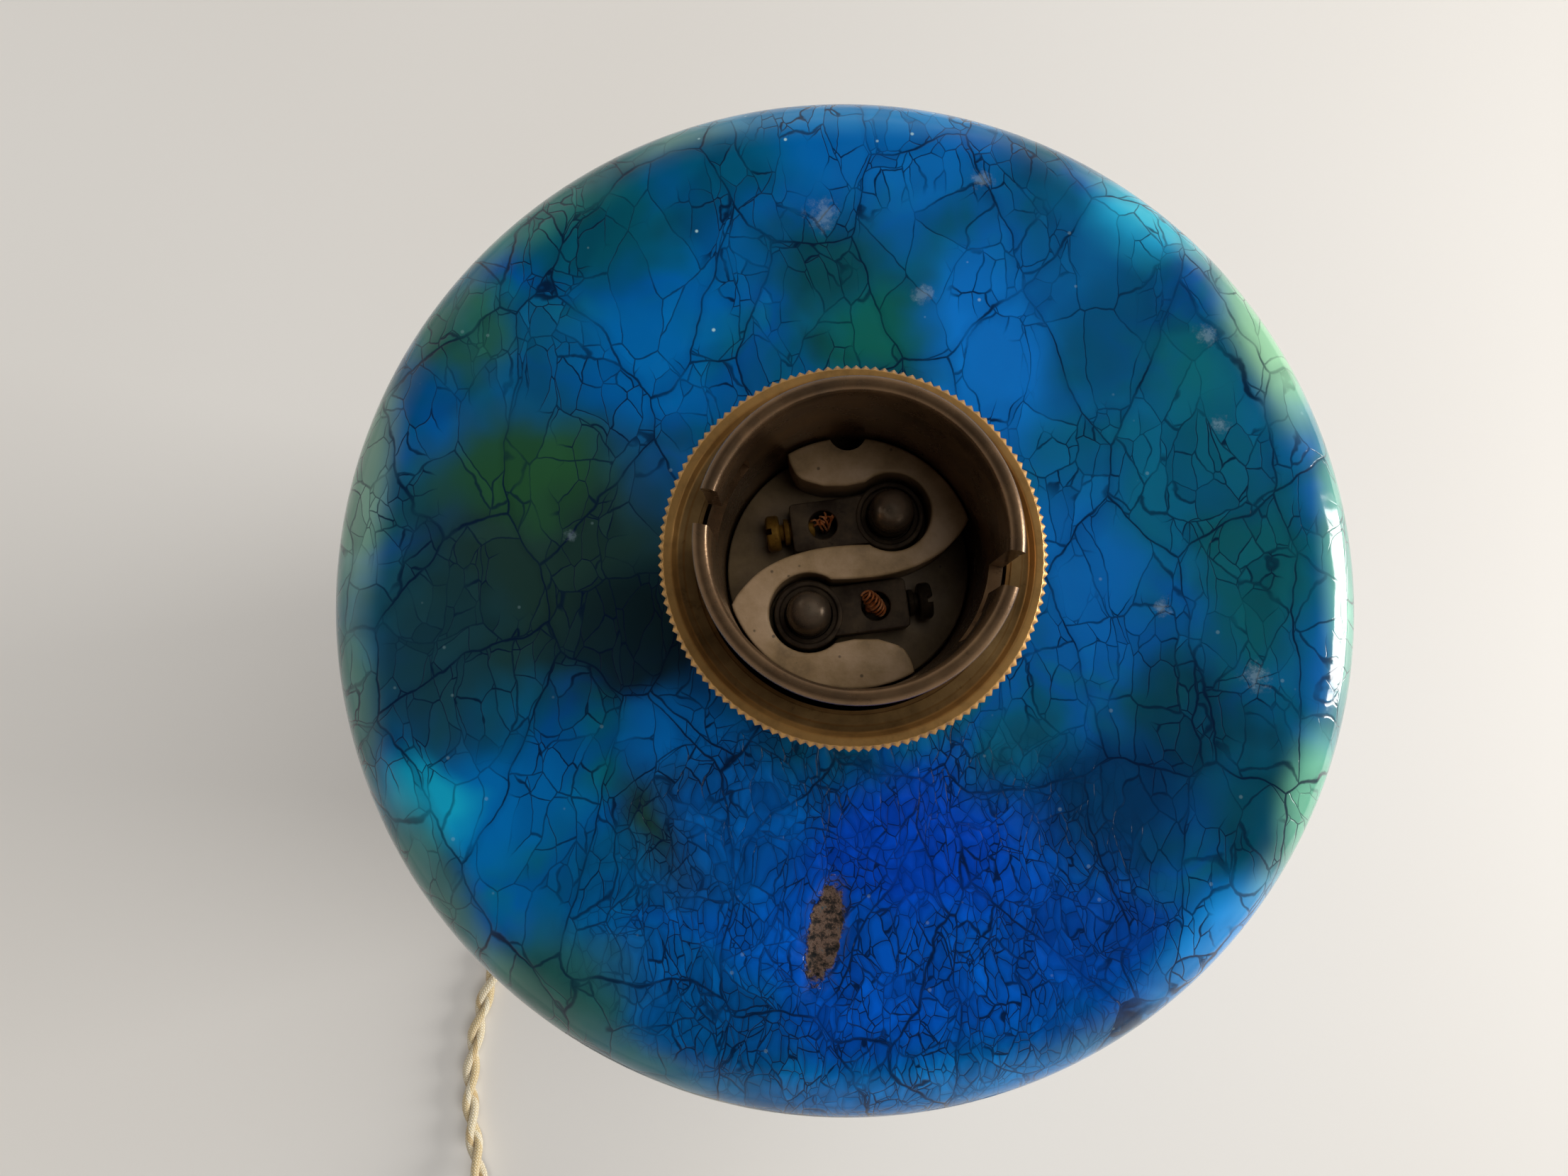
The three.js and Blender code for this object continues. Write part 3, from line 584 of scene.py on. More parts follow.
def glaze():
    """Turquoise and ultramarine glaze that pools and thins, crazed right through."""
    paint = Paint("crackle_glaze", IOR=1.46)
    drift = paint.node("ShaderNodeTexNoise", Vector=paint.mm, Scale=1 / 9, Detail=2).outputs["Color"]
    drift = paint.vector("SUBTRACT", drift, (0.5, 0.5, 0.5))
    place = paint.vector("ADD", paint.mm, paint.vector("SCALE", drift, Scale=9.0))
    flat = paint.vector("MULTIPLY", place, (1, 1, 0))
    colour, cracks, pebbles = crazed(paint, glaze_colour(paint, place), drift, flat)
    colour = paint.mix(1.0, colour, (1.12, 1.14, 1.16, 1), "MULTIPLY")

    # Pinholes and pale specks caught under the surface, thickest towards the back of the top.
    speck = paint.step(paint.cells(3.4), 0.035, 0.075, 1.0, 0.0)
    thick = paint.step(paint.vector("DISTANCE", flat, (-4, 37, 0)), 8, 30, 0.85, 0.12)
    colour = paint.mix(paint.times(speck, thick), colour, "b9e0e4")

    dull = scuffed(paint)
    colour = paint.mix(paint.times(dull, 0.3), colour, "8fa7b4")
    bare = chipped(paint)
    grit = paint.ramp(paint.noise(0.9, 4, 0.8), (0.36, "16191a"), (0.46, "40362f"), (0.56, "7a6152"),
                      (0.64, "6a5d54"), (0.7, "1f6070"))
    paint.set("Base Color", paint.mix(bare, colour, grit))
    rough = paint.math("MAXIMUM", bare, paint.times(dull, 0.55))
    paint.set("Roughness", paint.step(rough, 0.0, 1.0, 0.1, 0.75))
    paint.bump(paint.noise(6, 2), 0.16)
    paint.bump(paint.minus(1.0, cracks), 0.03, 0.6)
    paint.bump(pebbles, 0.03, 0.6)
    paint.bump(paint.times(paint.noise(0.5, 4, 0.8), bare), 0.35)
    return paint.material


def clay():
    paint = Paint("bare_clay", Roughness=0.85)
    paint.set("Base Color", paint.ramp(paint.noise(5, 5, 0.65), (0.3, "a98c6c"), (0.55, "c8ae8c"),
                                       (0.75, "dac6a8")))
    paint.bump(paint.noise(0.8, 4, 0.7), 0.25)
    return paint.material


def metal(name, dark, middle, light, roughness=(0.28, 0.5), wear_and_highlight=None, size=6.0, bright=0.7):
    """Aged metal: patina in clouds and fine rub marks. The optional function gives, from the paint, where
    wear and painted highlights lighten it, and to what.
    """
    paint = Paint(name, Metallic=bright)
    cloud = paint.noise(size, 5, 0.62)
    colour = paint.ramp(cloud, (0.3, dark), (0.5, middle), (0.72, light))
    spots = paint.step(paint.noise(0.9, 3, 0.7), 0.6, 0.72, 0.0, 0.6)
    colour = paint.mix(spots, colour, dark)
    if wear_and_highlight:
        amount, worn_and_lit_colour = wear_and_highlight(paint)
        rubbed_and_lit = paint.times(amount, paint.step(paint.noise(1.4, 3, 0.6), 0.25, 0.6, 0.55, 1.0))
        colour = paint.mix(rubbed_and_lit, colour, worn_and_lit_colour)
    paint.set("Base Color", colour)
    paint.set("Roughness", paint.step(cloud, 0.25, 0.75, *roughness))
    marks = paint.noise(0.3, 3, 0.6, place=paint.vector("MULTIPLY", paint.mm, (1, 1, 0.12)))
    paint.bump(marks, 0.02, 0.6)
    paint.bump(paint.noise(2.2, 4, 0.6), 0.05, 0.5)
    return paint.material


def lip_wear_and_highlight(paint):
    """The barrel's rolled lip and outside, lighter both from wear by hands and shades and as a painted
    highlight.
    """
    lip = paint.step(paint.z, RIM_Z - 1.0, RIM_Z - 0.3)
    outside = paint.step(paint.radius, 12.2, 12.4)
    return paint.times(paint.math("MAXIMUM", lip, outside), 0.35), "75624c"


def worn_knurl(paint):
    """The shade ring's edge, rubbed bright where it is gripped."""
    return paint.step(paint.radius, RING_HIGH.x - 1.75, RING_HIGH.x - 1.5), "c8995a"


def crown_wear_and_highlight(paint):
    """The tops of the plungers, lighter both from wear by bulbs and as a painted highlight."""
    top = span("contact_plunger_a")[1].z
    return paint.times(paint.step(paint.z, top - 1.1, top), 0.75), "8c7a66"


def porcelain():
    """Stained glazed porcelain, with painted shade darkening the floor of its pockets."""
    paint = Paint("lamp_porcelain", IOR=1.5, Coat_Weight=0.12, Coat_Roughness=0.25)
    grime = paint.noise(4.5, 5, 0.65)
    colour = paint.ramp(grime, (0.3, "6f5a40"), (0.46, "8f7554"), (0.65, "a5896a"))
    low = span("porcelain_insert")[0].z
    # Painted shade: the pockets' floor is darkened, as the walls around it shade it.
    floor = paint.step(paint.z, low + 4.6, low + 6.4, 1.0, 0.0)
    painted_pocket_shade = paint.ramp(paint.noise(3, 4, 0.7), (0.35, "362d21"), (0.6, "51442f"))
    colour = paint.mix(paint.times(floor, 0.85), colour, painted_pocket_shade)
    spots = paint.step(paint.cells(1.7), 0.05, 0.12, 0.75, 0.0)
    colour = paint.mix(spots, colour, "40352a")
    paint.set("Base Color", colour)
    paint.set("Roughness", paint.step(grime, 0.3, 0.7, 0.5, 0.36))
    paint.bump(paint.noise(0.8, 4, 0.6), 0.04)
    return paint.material


def copper():
    paint = Paint("copper_strands", Metallic=0.75, Roughness=0.28)
    paint.set("Base Color", paint.ramp(paint.noise(0.8, 4, 0.7), (0.3, "8a4220"), (0.5, "d47c44"),
                                       (0.7, "f4b07c")))
    return paint.material


def woven(name, first, second, third, turns=8.0, picks=0.85, tracer_pitch=14):
    """Braided cloth over a core: threads cross in two spirals, in UV round and millimetres along."""
    paint = Paint(name, Roughness=0.82, Sheen_Weight=0.35, Sheen_Roughness=0.5)
    place = paint.node("ShaderNodeTexCoord").outputs["UV"]
    around, along, _ = paint.node("ShaderNodeSeparateXYZ", Vector=place).outputs

    def spiral(starts, pitch):
        phase = paint.plus(paint.times(around, 2 * math.pi * starts),
                           paint.times(along, 2 * math.pi / pitch))
        return paint.math("SINE", phase)

    thread = paint.times(spiral(turns / 2, 2 * picks), spiral(-turns / 2, 2 * picks))
    height = paint.math("ABSOLUTE", thread)
    fuzz = paint.noise(0.25, 4, 0.7)
    colour = paint.mix(paint.step(thread, -0.15, 0.15), first, second)
    colour = paint.mix(paint.step(spiral(1, tracer_pitch), 0.72, 0.86, 0.0, 0.85), colour, third)
    # Painted shade: the hollows between the threads are darkened.
    colour = paint.mix(paint.step(height, 0.0, 0.35, 0.45, 0.0), colour, "6e5a3c")
    paint.set("Base Color", paint.mix(paint.step(fuzz, 0.35, 0.65, 0.18, 0.0), colour, "f3ead2"))
    paint.bump(height, 0.16)
    paint.bump(fuzz, 0.05, 0.6)
    return paint.material


def moulded(name, dark, light, roughness=0.24, swirl=9.0):
    """Moulded plastic with a faint swirl and handling marks."""
    paint = Paint(name, IOR=1.55)
    cloud = paint.noise(swirl, 5, 0.6, wave=1.2)
    paint.set("Base Color", paint.ramp(cloud, (0.3, dark), (0.7, light)))
    paint.set("Roughness", paint.step(paint.noise(4, 4, 0.7), 0.3, 0.75, roughness, roughness + 0.22))
    paint.bump(paint.noise(2.4, 3), 0.03)
    paint.bump(paint.noise(0.3, 2), 0.008)
    return paint.material


def matt(name, dark, light, size, relief, sheen=0.0):
    """A dull surface that is cloudy and rough at one scale."""
    paint = Paint(name, Roughness=0.9, Sheen_Weight=sheen)
    cloud = paint.noise(size, 5, 0.7)
    paint.set("Base Color", paint.ramp(cloud, (0.32, dark), (0.68, light)))
    paint.bump(cloud, relief)
    return paint.material


GLAZE = glaze()
CLAY = clay()
BARREL_BRASS = metal("aged_barrel_brass", "493728", "6c5138", "8c6e4e", (0.2, 0.36), lip_wear_and_highlight)
RING_BRASS = metal("ring_brass", "6a5230", "8c6e44", "a88858", (0.28, 0.42), worn_knurl)
CAP_BRASS = metal("cap_brass", "33241a", "4a3822", "6b5230", (0.3, 0.48))
CONTACT_BRASS = metal("contact_brass", "372c23", "524538", "6f5e49", (0.34, 0.52), size=3.0)
PLUNGER_METAL = metal("plunger_metal", "3a3028", "55483b", "6b5b4a", (0.24, 0.36), crown_wear_and_highlight, 2.0)
SCREW_BRASS = metal("screw_brass", "5c4018", "8a6428", "b28638", (0.26, 0.42), size=2.0)
DULL_SCREW = metal("dull_screw_brass", "241c15", "382e22", "4c3f2d", (0.36, 0.55), size=2.0)
PLAIN_BRASS = metal("fixing_brass", "7a5a26", "a37c38", "c79c50", (0.24, 0.4), bright=1.0)
STEEL = metal("zinc_steel", "6e6d68", "8d8c88", "aaa9a4", (0.3, 0.48), bright=1.0)
NICKEL = metal("nickel_plate", "8d877b", "b3ada0", "cfc9bc", (0.16, 0.3), bright=1.0)
PORCELAIN = porcelain()
COPPER = copper()
CLOTH_CREAM = woven("cloth_cream", "e8dcc0", "dac9a4", "c4a468")
CLOTH_GOLD = woven("cloth_gold", "dfcba0", "d0b682", "ece2c8")
CORE_PAPER = matt("core_insulation", "3a3126", "52473a", 1.2, 0.06)
BAKELITE = moulded("bakelite_brown", "22110b", "3d2115")
IVORY = moulded("rocker_ivory", "d8ccb0", "e6dcc4", 0.28)
RUBBER = matt("black_rubber", "1b1917", "2c2927", 1.5, 0.05)
FELT = matt("green_felt", "243a2c", "3b5a45", 0.5, 0.3, sheen=0.6)
TIE_CLOTH = matt("tie_cotton", "c9b88f", "e4d7b6", 0.6, 0.15, sheen=0.3)


# ---- flex ----

FLEX_RADIUS = 2.7
CORE_RADIUS = FLEX_RADIUS / 2
TWIST_PITCH = 22.0
LIE = 2.9                          # height of the flex's axis where it lies on the table
BUSH_END = (-53.7, -39.0, 10.0)

RUN_TO_SWITCH = [(-53.7, -39, 10), (-58.6, -42.6, 9.3), (-64, -46.6, 7), (-70, -51.4, 4.4),
                 (-76.4, -57.2, LIE), (-83.2, -64.4, LIE), (-90, -72.8, LIE), (-96.4, -82.4, LIE),
                 (-101.6, -93, LIE), (-105.6, -104.6, LIE), (-108.4, -117, LIE), (-109.6, -129, LIE),
                 (-109.2, -140, LIE), (-107.6, -149, 3.8), (-105.4, -157, 6.2), (-103.9, -164.2, 8)]
THROUGH_SWITCH = [(-103.5, -176, 8), (-103.5, -195.6, 8), (-103.5, -215, 8)]
RUN_TO_COIL = [(-103.5, -226.9, 8), (-102.7, -232.7, 6.6), (-100.2, -238.7, 4.6), (-95.6, -243.9, 3.3),
               (-89, -247.7, LIE), (-81.5, -249, LIE), (-74.5, -249, LIE), (-67.5, -249, LIE),
               (-60.8, -249, LIE), (-53, -249, LIE), (-45, -249, LIE), (-37, -249, LIE)]
RUN_TO_PLUG = [(0.2, -244.3, 8.6), (5.6, -240.4, 8.4), (11, -236.4, 8.2), (17.4, -232.1, 5.6),
               (24.4, -229, 3.6), (32, -227.2, LIE), (39.6, -226.4, 4.2), (46, -226.1, 6.2),
               (51.6, -226, 6.9), (60, -225.6, 6.9)]
# Middle of the coil, its ring's radius, how far the turns wind out from it, the height of its middle,
# how many turns it has and how many degrees each one winds on from the last.
COIL = {"x": -30.0, "y": -217.0, "radius": 32.0, "wind": 8.05, "middle": 10.95, "turns": 7.1, "shift": 40}


def coil_turns():
    """Turns laid side by side round a ring, each a flex's width on from the last."""
    points = []
    steps = int(COIL["turns"] * 24)
    for i in range(steps + 1):
        turns = COIL["turns"] * i / steps
        around = math.radians(360 * turns - 90)
        wound = math.radians(-90 - COIL["shift"] * turns)
        reach = COIL["radius"] + COIL["wind"] * math.cos(wound)
        points.append((COIL["x"] + reach * math.cos(around), COIL["y"] + reach * math.sin(around),
                       COIL["middle"] + COIL["wind"] * math.sin(wound)))
    return points


def twisted(path):
    """The flex's two cloth-covered cores, wound round each other along a path."""
    across, over = path_frames(path)
    angle = (2 * np.pi * along_path(path) / TWIST_PITCH)[:, None]
    cores = []
    for half in (0, np.pi):
        offset = across * np.cos(angle + half) + over * np.sin(angle + half)
        cores.append(tube_mesh(path + offset * CORE_RADIUS, CORE_RADIUS))
    return cores


def lay_flex(name, path, body=LAMP):
    """Both cores as one piece, one cream and one gold."""
    cream, gold = twisted(path)
    count = len(cream.polygons)
    piece = add_piece(name, joined(cream, gold), CLOTH_CREAM, body, sharp=60)
    piece.data.materials.append(CLOTH_GOLD)
    choice = [0] * count + [1] * (len(piece.data.polygons) - count)
    piece.data.polygons.foreach_set("material_index", choice)
    return piece


def free_flex():
    """The flex outside the lamp, from the bush through the switch and the coil to the plug."""
    controls = [*RUN_TO_SWITCH, *THROUGH_SWITCH, *RUN_TO_COIL, *coil_turns(), *RUN_TO_PLUG]
    path = smooth_path(controls, 1.8)
    piece = lay_flex("twisted_flex", path)
    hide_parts("flex_run", "flex_link", "flex_tail", "flex_coil")
    return piece, path


def inner_flex():
    """The flex from the bush up through the hollow body to the holder."""
    way = math.atan2(BUSH_END[1], BUSH_END[0])
    out = [(65.8, 10), (58, 10), (50, 10), (42, 10), (34, 12), (22, 24), (10, 60), (3, 110)]
    controls = [(r * math.cos(way), r * math.sin(way), z) for r, z in out]
    controls += [(0, 0, 160), (0, 0, 215), (0, 0, 245), (0, 0, span("core_a")[0].z - 0.4)]
    piece = lay_flex("twisted_flex_inside", smooth_path(controls, 2.2))
    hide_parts("flex_inside")


TIE = {"width": 7.0, "thick": 0.5, "slack": 0.35, "tail": 15, "splay": 62, "table_gap": 0.25}


def coil_tie():
    """A strip of cotton tape tied once round the coil's turns, with two short tails."""
    middle = Vector((COIL["x"] - COIL["radius"], COIL["y"], COIL["middle"]))
    reach, thick = COIL["wind"] + FLEX_RADIUS + TIE["slack"], TIE["thick"]
    loop = [(reach * math.cos(a), reach * math.sin(a)) for a in np.linspace(0, 2 * np.pi, 48)[:-1]]
    outer = [(x * (1 + thick / reach), y * (1 + thick / reach)) for x, y in loop]
    flat = max(-(COIL["middle"] - TIE["table_gap"]), -reach)
    outer = [(x, max(y, flat)) for x, y in outer]
    loop = [(x, max(y, flat + 0.3)) for x, y in loop]
    band = slab([outer, loop], -TIE["width"] / 2, TIE["width"] / 2, 0.15)
    knot = slab([rounded([(-3, -2.2), (3, -2.2), (3, 2.2), (-3, 2.2)], 1.4)], reach, reach + 2.6, 0.7)
    strip = rounded([(0, -2.6), (TIE["tail"], -2.2), (TIE["tail"], 2.2), (0, 2.6)], 0.4)
    tails = []
    for side in (-1, 1):
        place = shift(side * 1.5, 0, reach + 0.8) @ turn(90 + side * TIE["splay"]) @ turn(6, "Y")
        tails.append(moved(slab([strip], 0, thick, 0.15), place))
    band.transform(turn(90, "X"))
    whole = joined(band, knot, *tails)
    whole.transform(Matrix.Translation(middle * MM))
    piece = add_piece("coil_tie", whole, TIE_CLOTH)
    return piece


# ---- ceramic ----

# Radii at the foot and shoulder, how far the wall swells between them, the rolled edge's radius, and
# how thick the wall and roof are.
BELLY = {"foot": 51.6, "shoulder": 54.4, "swell": 1.6, "roll": 7.0, "wall": 6.0, "roof": 8.0}
EXIT_HEIGHT = 10.0
EXIT_RADIUS = 4.4
ROOF_HOLE = 5.6
EXIT_TURN = math.degrees(math.atan2(BUSH_END[1], BUSH_END[0]))


def wall_radius(z):
    """The outside's radius at a height."""
    t = np.clip((z - FOOT_Z) / (TOP_Z - FOOT_Z), 0, 1)
    swell = BELLY["swell"] * np.sin(np.pi * np.minimum(1, 1.02 * t))
    return BELLY["foot"] + (BELLY["shoulder"] - BELLY["foot"]) * np.sqrt(t) + swell


def thrown(points):
    """Finger rings and slight wander left by throwing, and the chip in the top's glaze."""
    radius = np.hypot(points[:, 0], points[:, 1])
    z = points[:, 2]
    angle = np.arctan2(points[:, 1], points[:, 0])
    outside = np.clip((radius - wall_radius(z) + 3) / 2, 0, 1) * np.clip((TOP_Z - 9 - z) / 20, 0, 1)
    rings = 0.22 * np.sin(2 * np.pi * (z + 9 * angle / (2 * np.pi)) / 9.0)
    wander = 0.22 * np.sin(2 * angle + z / 60) + 0.14 * np.sin(3 * angle - z / 41)
    shaped = points.copy()
    shaped[:, :2] *= (1 + outside * (rings + wander - 0.3) / np.maximum(radius, 1))[:, None]
    for i in np.nonzero(z > TOP_Z - 1.5)[0]:
        x, y = points[i, 0], points[i, 1]
        shaped[i, 2] += 0.16 * noise.noise((x / 15, y / 15, 3.0)) - 0.12
        down = y - CHIP["y"]
        off = math.hypot((x - CHIP["x"] - CHIP["lean"] * down) / CHIP["half_x"], down / CHIP["half_y"])
        off += 0.5 * noise.noise((x / 1.5, y / 1.5, 7.0))
        if off < 1.1:
            grain = 0.25 * noise.noise((x / 0.7, y / 0.7, 1.0))
            shaped[i, 2] -= CHIP["depth"] * min(1.0, (1.1 - off) * 3) + grain
    return shaped


def ceramic():
    """The thrown body, hollow and open at the foot; its inside and foot are bare clay."""
    roll_z = TOP_Z - BELLY["roll"]
    roll_middle = float(wall_radius(roll_z)) - BELLY["roll"]
    outside = [(float(wall_radius(z)), z) for z in np.linspace(FOOT_Z + 1.6, roll_z, 90)]
    roll = [(roll_middle + BELLY["roll"] * math.cos(a), roll_z + BELLY["roll"] * math.sin(a))
            for a in np.linspace(0, math.pi / 2, 15)[1:]]
    top = [(r, TOP_Z) for r in np.arange(roll_middle - 0.7, ROOF_HOLE + 0.8, -0.7)]
    hole = [(ROOF_HOLE + 0.4, TOP_Z - 0.1), (ROOF_HOLE, TOP_Z - 0.5), (ROOF_HOLE, TOP_Z - BELLY["roof"])]
    ceiling = TOP_Z - BELLY["roof"]
    inside = [(20, ceiling), (36, ceiling), (44, ceiling - 2), (47.2, ceiling - 7)]
    inside += [(float(wall_radius(z)) - BELLY["wall"], z) for z in np.linspace(ceiling - 14, 5, 24)]
    foot_in = float(wall_radius(FOOT_Z)) - BELLY["wall"]
    foot = [(foot_in + 0.6, FOOT_Z), (float(wall_radius(FOOT_Z)) - 1.2, FOOT_Z),
            (float(wall_radius(FOOT_Z)) - 0.3, FOOT_Z + 0.6)]
    body = turned(outside + roll + top + hole + inside + foot, 288, thrown)
    drill = moved(bar(EXIT_RADIUS, 40, 60, 0), shift(z=EXIT_HEIGHT) @ turn(EXIT_TURN) @ ALONG_X)
    piece = add_piece("glazed_body", cut(body, drill), GLAZE, sharp=50)
    piece.data.materials.append(CLAY)
    for face in piece.data.polygons:
        x, y, z = face.center / MM
        reach = math.hypot(x, y)
        bare = z < FOOT_Z + 3.5 or (z < TOP_Z - 1 and reach < wall_radius(z) - 3.2 and z < roll_z + 2)
        face.material_index = int(bare or (z < TOP_Z - 1 and reach < roll_middle - 2))
    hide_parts("ceramic_body")


def stand_for(name, mesh, material, node, body=LAMP, sharp=35):
    """A piece that replaces one CAD node, which it hides."""
    piece = add_piece(name, mesh, material, body, sharp)
    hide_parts(node)
    return piece


def felt_pad():
    """A felt ring under the foot."""
    low, high = span("felt_ring")
    pad = lathe([(39, low.z, 0.4), (47.6, low.z, 0.4), (47.6, high.z, 0.4), (39, high.z, 0.4)])
    stand_for("felt_pad", pad, FELT, "felt_ring")


def ribbed_bush():
    """A rubber bush through the wall, tapering in four ribs along the flex."""
    profile = [(3.0, 43, 0.2), (4.1, 43, 0.2), (4.1, 52.7, 0.3), (6.4, 52.7, 0.5), (6.3, 55.4, 0.8)]
    for rib in range(4):
        reach, size = 56.8 + 2.3 * rib, 5.35 - 0.33 * rib
        profile += [(size, reach, 0.2), (size - 0.1, reach + 1.5, 0.2), (size - 0.55, reach + 1.6, 0.1)]
    profile += [(4.0, 66, 0.3), (3.0, 66, 0.1)]
    bush = lathe(profile, 48)
    bush.transform(shift(z=EXIT_HEIGHT) @ turn(EXIT_TURN) @ ALONG_X)
    return stand_for("ribbed_bush", bush, RUBBER, "flex_bush")


# ---- lampholder ----

BARREL = {"bore": 11.3, "outer": 12.45, "lip": 12.6, "low": 277.0}
BARREL_THREAD = {"low": RIM_Z - 17.5, "high": RIM_Z - 9.4, "depth": 0.13}
THREAD_PITCH = 0.55
SLOT = {"width": 2.7, "depth": 8.2, "turn": 22.0, "angle": -11.5, "seat": 1.1}
RING_BORE = 12.95
KNURLS = 126
CAP = {"outer": 13.7, "wall": 0.85, "neck": 7.2, "low": 268.6, "high": 284.0}
NIPPLE_HOLE = 5.0
INSERT = {"radius": 11.1, "flange": 12.3, "flange_top": 276.7, "top": 285.4, "floor": 279.6,
          "bottom": 274.6}
WELL = (3.65, 4.45, 3.5)           # middle and radius of a contact's pocket; the other is opposite
TERMINAL = {"turn": 7.5, "top": 283.2, "bottom": 276.2, "reach": 8.9, "half": 2.2, "screw_z": 281.45}
WIRE_HOLE = (6.05, 1.3)            # distance from the contact's axis, and radius
PLUNGER = {"radius": 1.95, "flange": 2.1, "crown": 287.5, "low": 281.2}
SPRING = {"low": 277.3, "high": 280.9, "turns": 5.0, "radius": 1.65, "wire": 0.22, "pressed": 0.36}


def grooved(radius, low, high, depth):
    """Points of a fine thread's outline, going up; a depth below 0 stands outwards."""
    points = []
    count = int((high - low) / THREAD_PITCH)
    for i in range(count):
        z = low + i * THREAD_PITCH
        points += [(radius, z), (radius - depth, z + THREAD_PITCH / 2)]
    return [*points, (radius, low + count * THREAD_PITCH)]


def barrel():
    """The brass barrel with its thread, its rolled lip and two J slots for the bulb's pins."""
    outer, lip, bore, low = BARREL["outer"], BARREL["lip"], BARREL["bore"], BARREL["low"]
    thread = grooved(outer, *BARREL_THREAD.values())
    lip_middle, lip_half = (lip + bore) / 2, (lip - bore) / 2
    bead = [(lip_middle + lip_half * math.cos(a), RIM_Z - lip_half + lip_half * math.sin(a))
            for a in np.linspace(-0.2, math.pi, 12)]
    outline = [(outer, low), *thread, (outer, RIM_Z - 2.4), (outer - 0.12, RIM_Z - 2.1),
               (outer, RIM_Z - 1.8), *bead, (bore, RIM_Z - 2), (bore, RIM_Z - 6), (bore, RIM_Z - 12),
               (bore, low)]
    shell = turned(outline, 192)
    half = SLOT["width"] / 2
    floor = RIM_Z - SLOT["depth"] - half
    near, far = bore - 1, lip + 1
    steps = np.linspace(0, -math.radians(SLOT["turn"]), 14)
    cutters = []
    for at in (SLOT["angle"], SLOT["angle"] + 180):
        sweep = [(near * math.cos(a), near * math.sin(a)) for a in steps]
        sweep += [(far * math.cos(a), far * math.sin(a)) for a in steps[::-1]]
        drop = box_mesh(near, far, -half, half, floor, RIM_Z + 1)
        seat = box_mesh(near, far, -half, half, floor, floor + SLOT["width"] + SLOT["seat"])
        cutters.append(moved(slab([rounded(sweep, 0)], floor, floor + SLOT["width"], 0.02), turn(at)))
        cutters.append(moved(drop, turn(at)))
        cutters.append(moved(seat, turn(at - SLOT["turn"])))
    stand_for("brass_barrel", cut(shell, *cutters), BARREL_BRASS, "bayonet_barrel")


def knurled_ring():
    """Shade ring: a fine straight knurl outside, a shallow dished floor and threads inside."""
    high, low, outer = RING_HIGH.z, RING_LOW.z, RING_HIGH.x
    thread = grooved(RING_BORE, low + 0.5, high - 1.4, -0.12)[::-1]
    profile = rounded([(outer - 0.7, low), (outer, low + 0.6), (outer, high - 0.5), (outer - 0.45, high),
                       (outer - 1.2, high), (outer - 1.55, high - 0.75), (14.3, high - 0.85),
                       (14.1, high - 0.7), (13.2, high - 0.7)],
                      [0.2, 0.25, 0.25, 0.3, 0.25, 0.3, 0.1, 0.1, 0.1])
    profile += [(RING_BORE, high - 0.95), *thread, (RING_BORE, low)]

    def knurl(points):
        radius = np.hypot(points[:, 0], points[:, 1])
        angle = np.arctan2(points[:, 1], points[:, 0])
        tooth = 0.5 - 0.5 * np.cos(angle * KNURLS)
        depth = 0.3 * np.clip((radius - outer + 0.5) / 0.3, 0, 1) * tooth
        points = points.copy()
        points[:, :2] *= (1 - depth / radius)[:, None]
        return points

    ring = turned(profile, KNURLS * 4, knurl)
    stand_for("knurled_ring", ring, RING_BRASS, "shade_ring", "shade_ring", sharp=50)


def cap():
    """The holder's lower cap, with a threaded hole for its set screw."""
    outer, wall, neck, low, high = CAP.values()
    inside = outer - wall
    shell = lathe([(neck, low, 0.3), (neck, low + 2.8, 0.5), (neck + 1.2, low + 3.6, 0.6),
                   (outer - 1.6, low + 4.8, 1.6), (outer, low + 7.2, 1.8), (outer, high - 2.2, 0.2),
                   (outer, high - 0.4, 0.2), (outer - 0.3, high, 0.2), (inside, high, 0.2),
                   (inside, low + 6.4, 0.8), (inside - 1.6, low + 5.2, 0.8), (NIPPLE_HOLE, low + 4.6, 0.2),
                   (NIPPLE_HOLE, low, 0.2)], 128)
    drill = moved(bar(1.45, NIPPLE_HOLE - 1, neck + 3, 0, 24), shift(z=TOP_Z + 2.1) @ turn(250) @ ALONG_X)
    stand_for("brass_cap", cut(shell, drill), CAP_BRASS, "holder_cap")


def curve_2d(points, step=0.25):
    """A smooth line through flat points."""
    flat = smooth_path([(x, y, 0) for x, y in points], step)
    return [(x, y) for x, y, _ in flat]


def wall_outline():
    """The insert's raised S: two rim arcs joined by the edges of the two pockets."""
    x, y, size = WELL
    arm = curve_2d([(-5.5, 9.62), (-5.25, 8.7), (-4.4, 7.45), (-2.4, 6.75)])
    flat = [(-1.4, 6.75), (-0.3, 6.75)]
    well = circle(x, y, size, 180 - 41.1, -124, 34)
    back = curve_2d([(1.69, 1.55), (-0.2, 1.5), (-2.6, 1.25), (-4.7, 0.75), (-6.4, 0.1), (-8.2, -1),
                     (-9.8, -2.7), (-10.4, -3.75)])
    pocket = arm + flat + well[1:-1] + back
    rim = INSERT["radius"]
    start = math.degrees(math.atan2(pocket[0][1], pocket[0][0]))
    end = math.degrees(math.atan2(pocket[-1][1], pocket[-1][0])) % 360
    arc = circle(0, 0, rim, end, start + 180, 34)[1:-1]
    half = pocket + arc
    return half + [(-px, -py) for px, py in half]


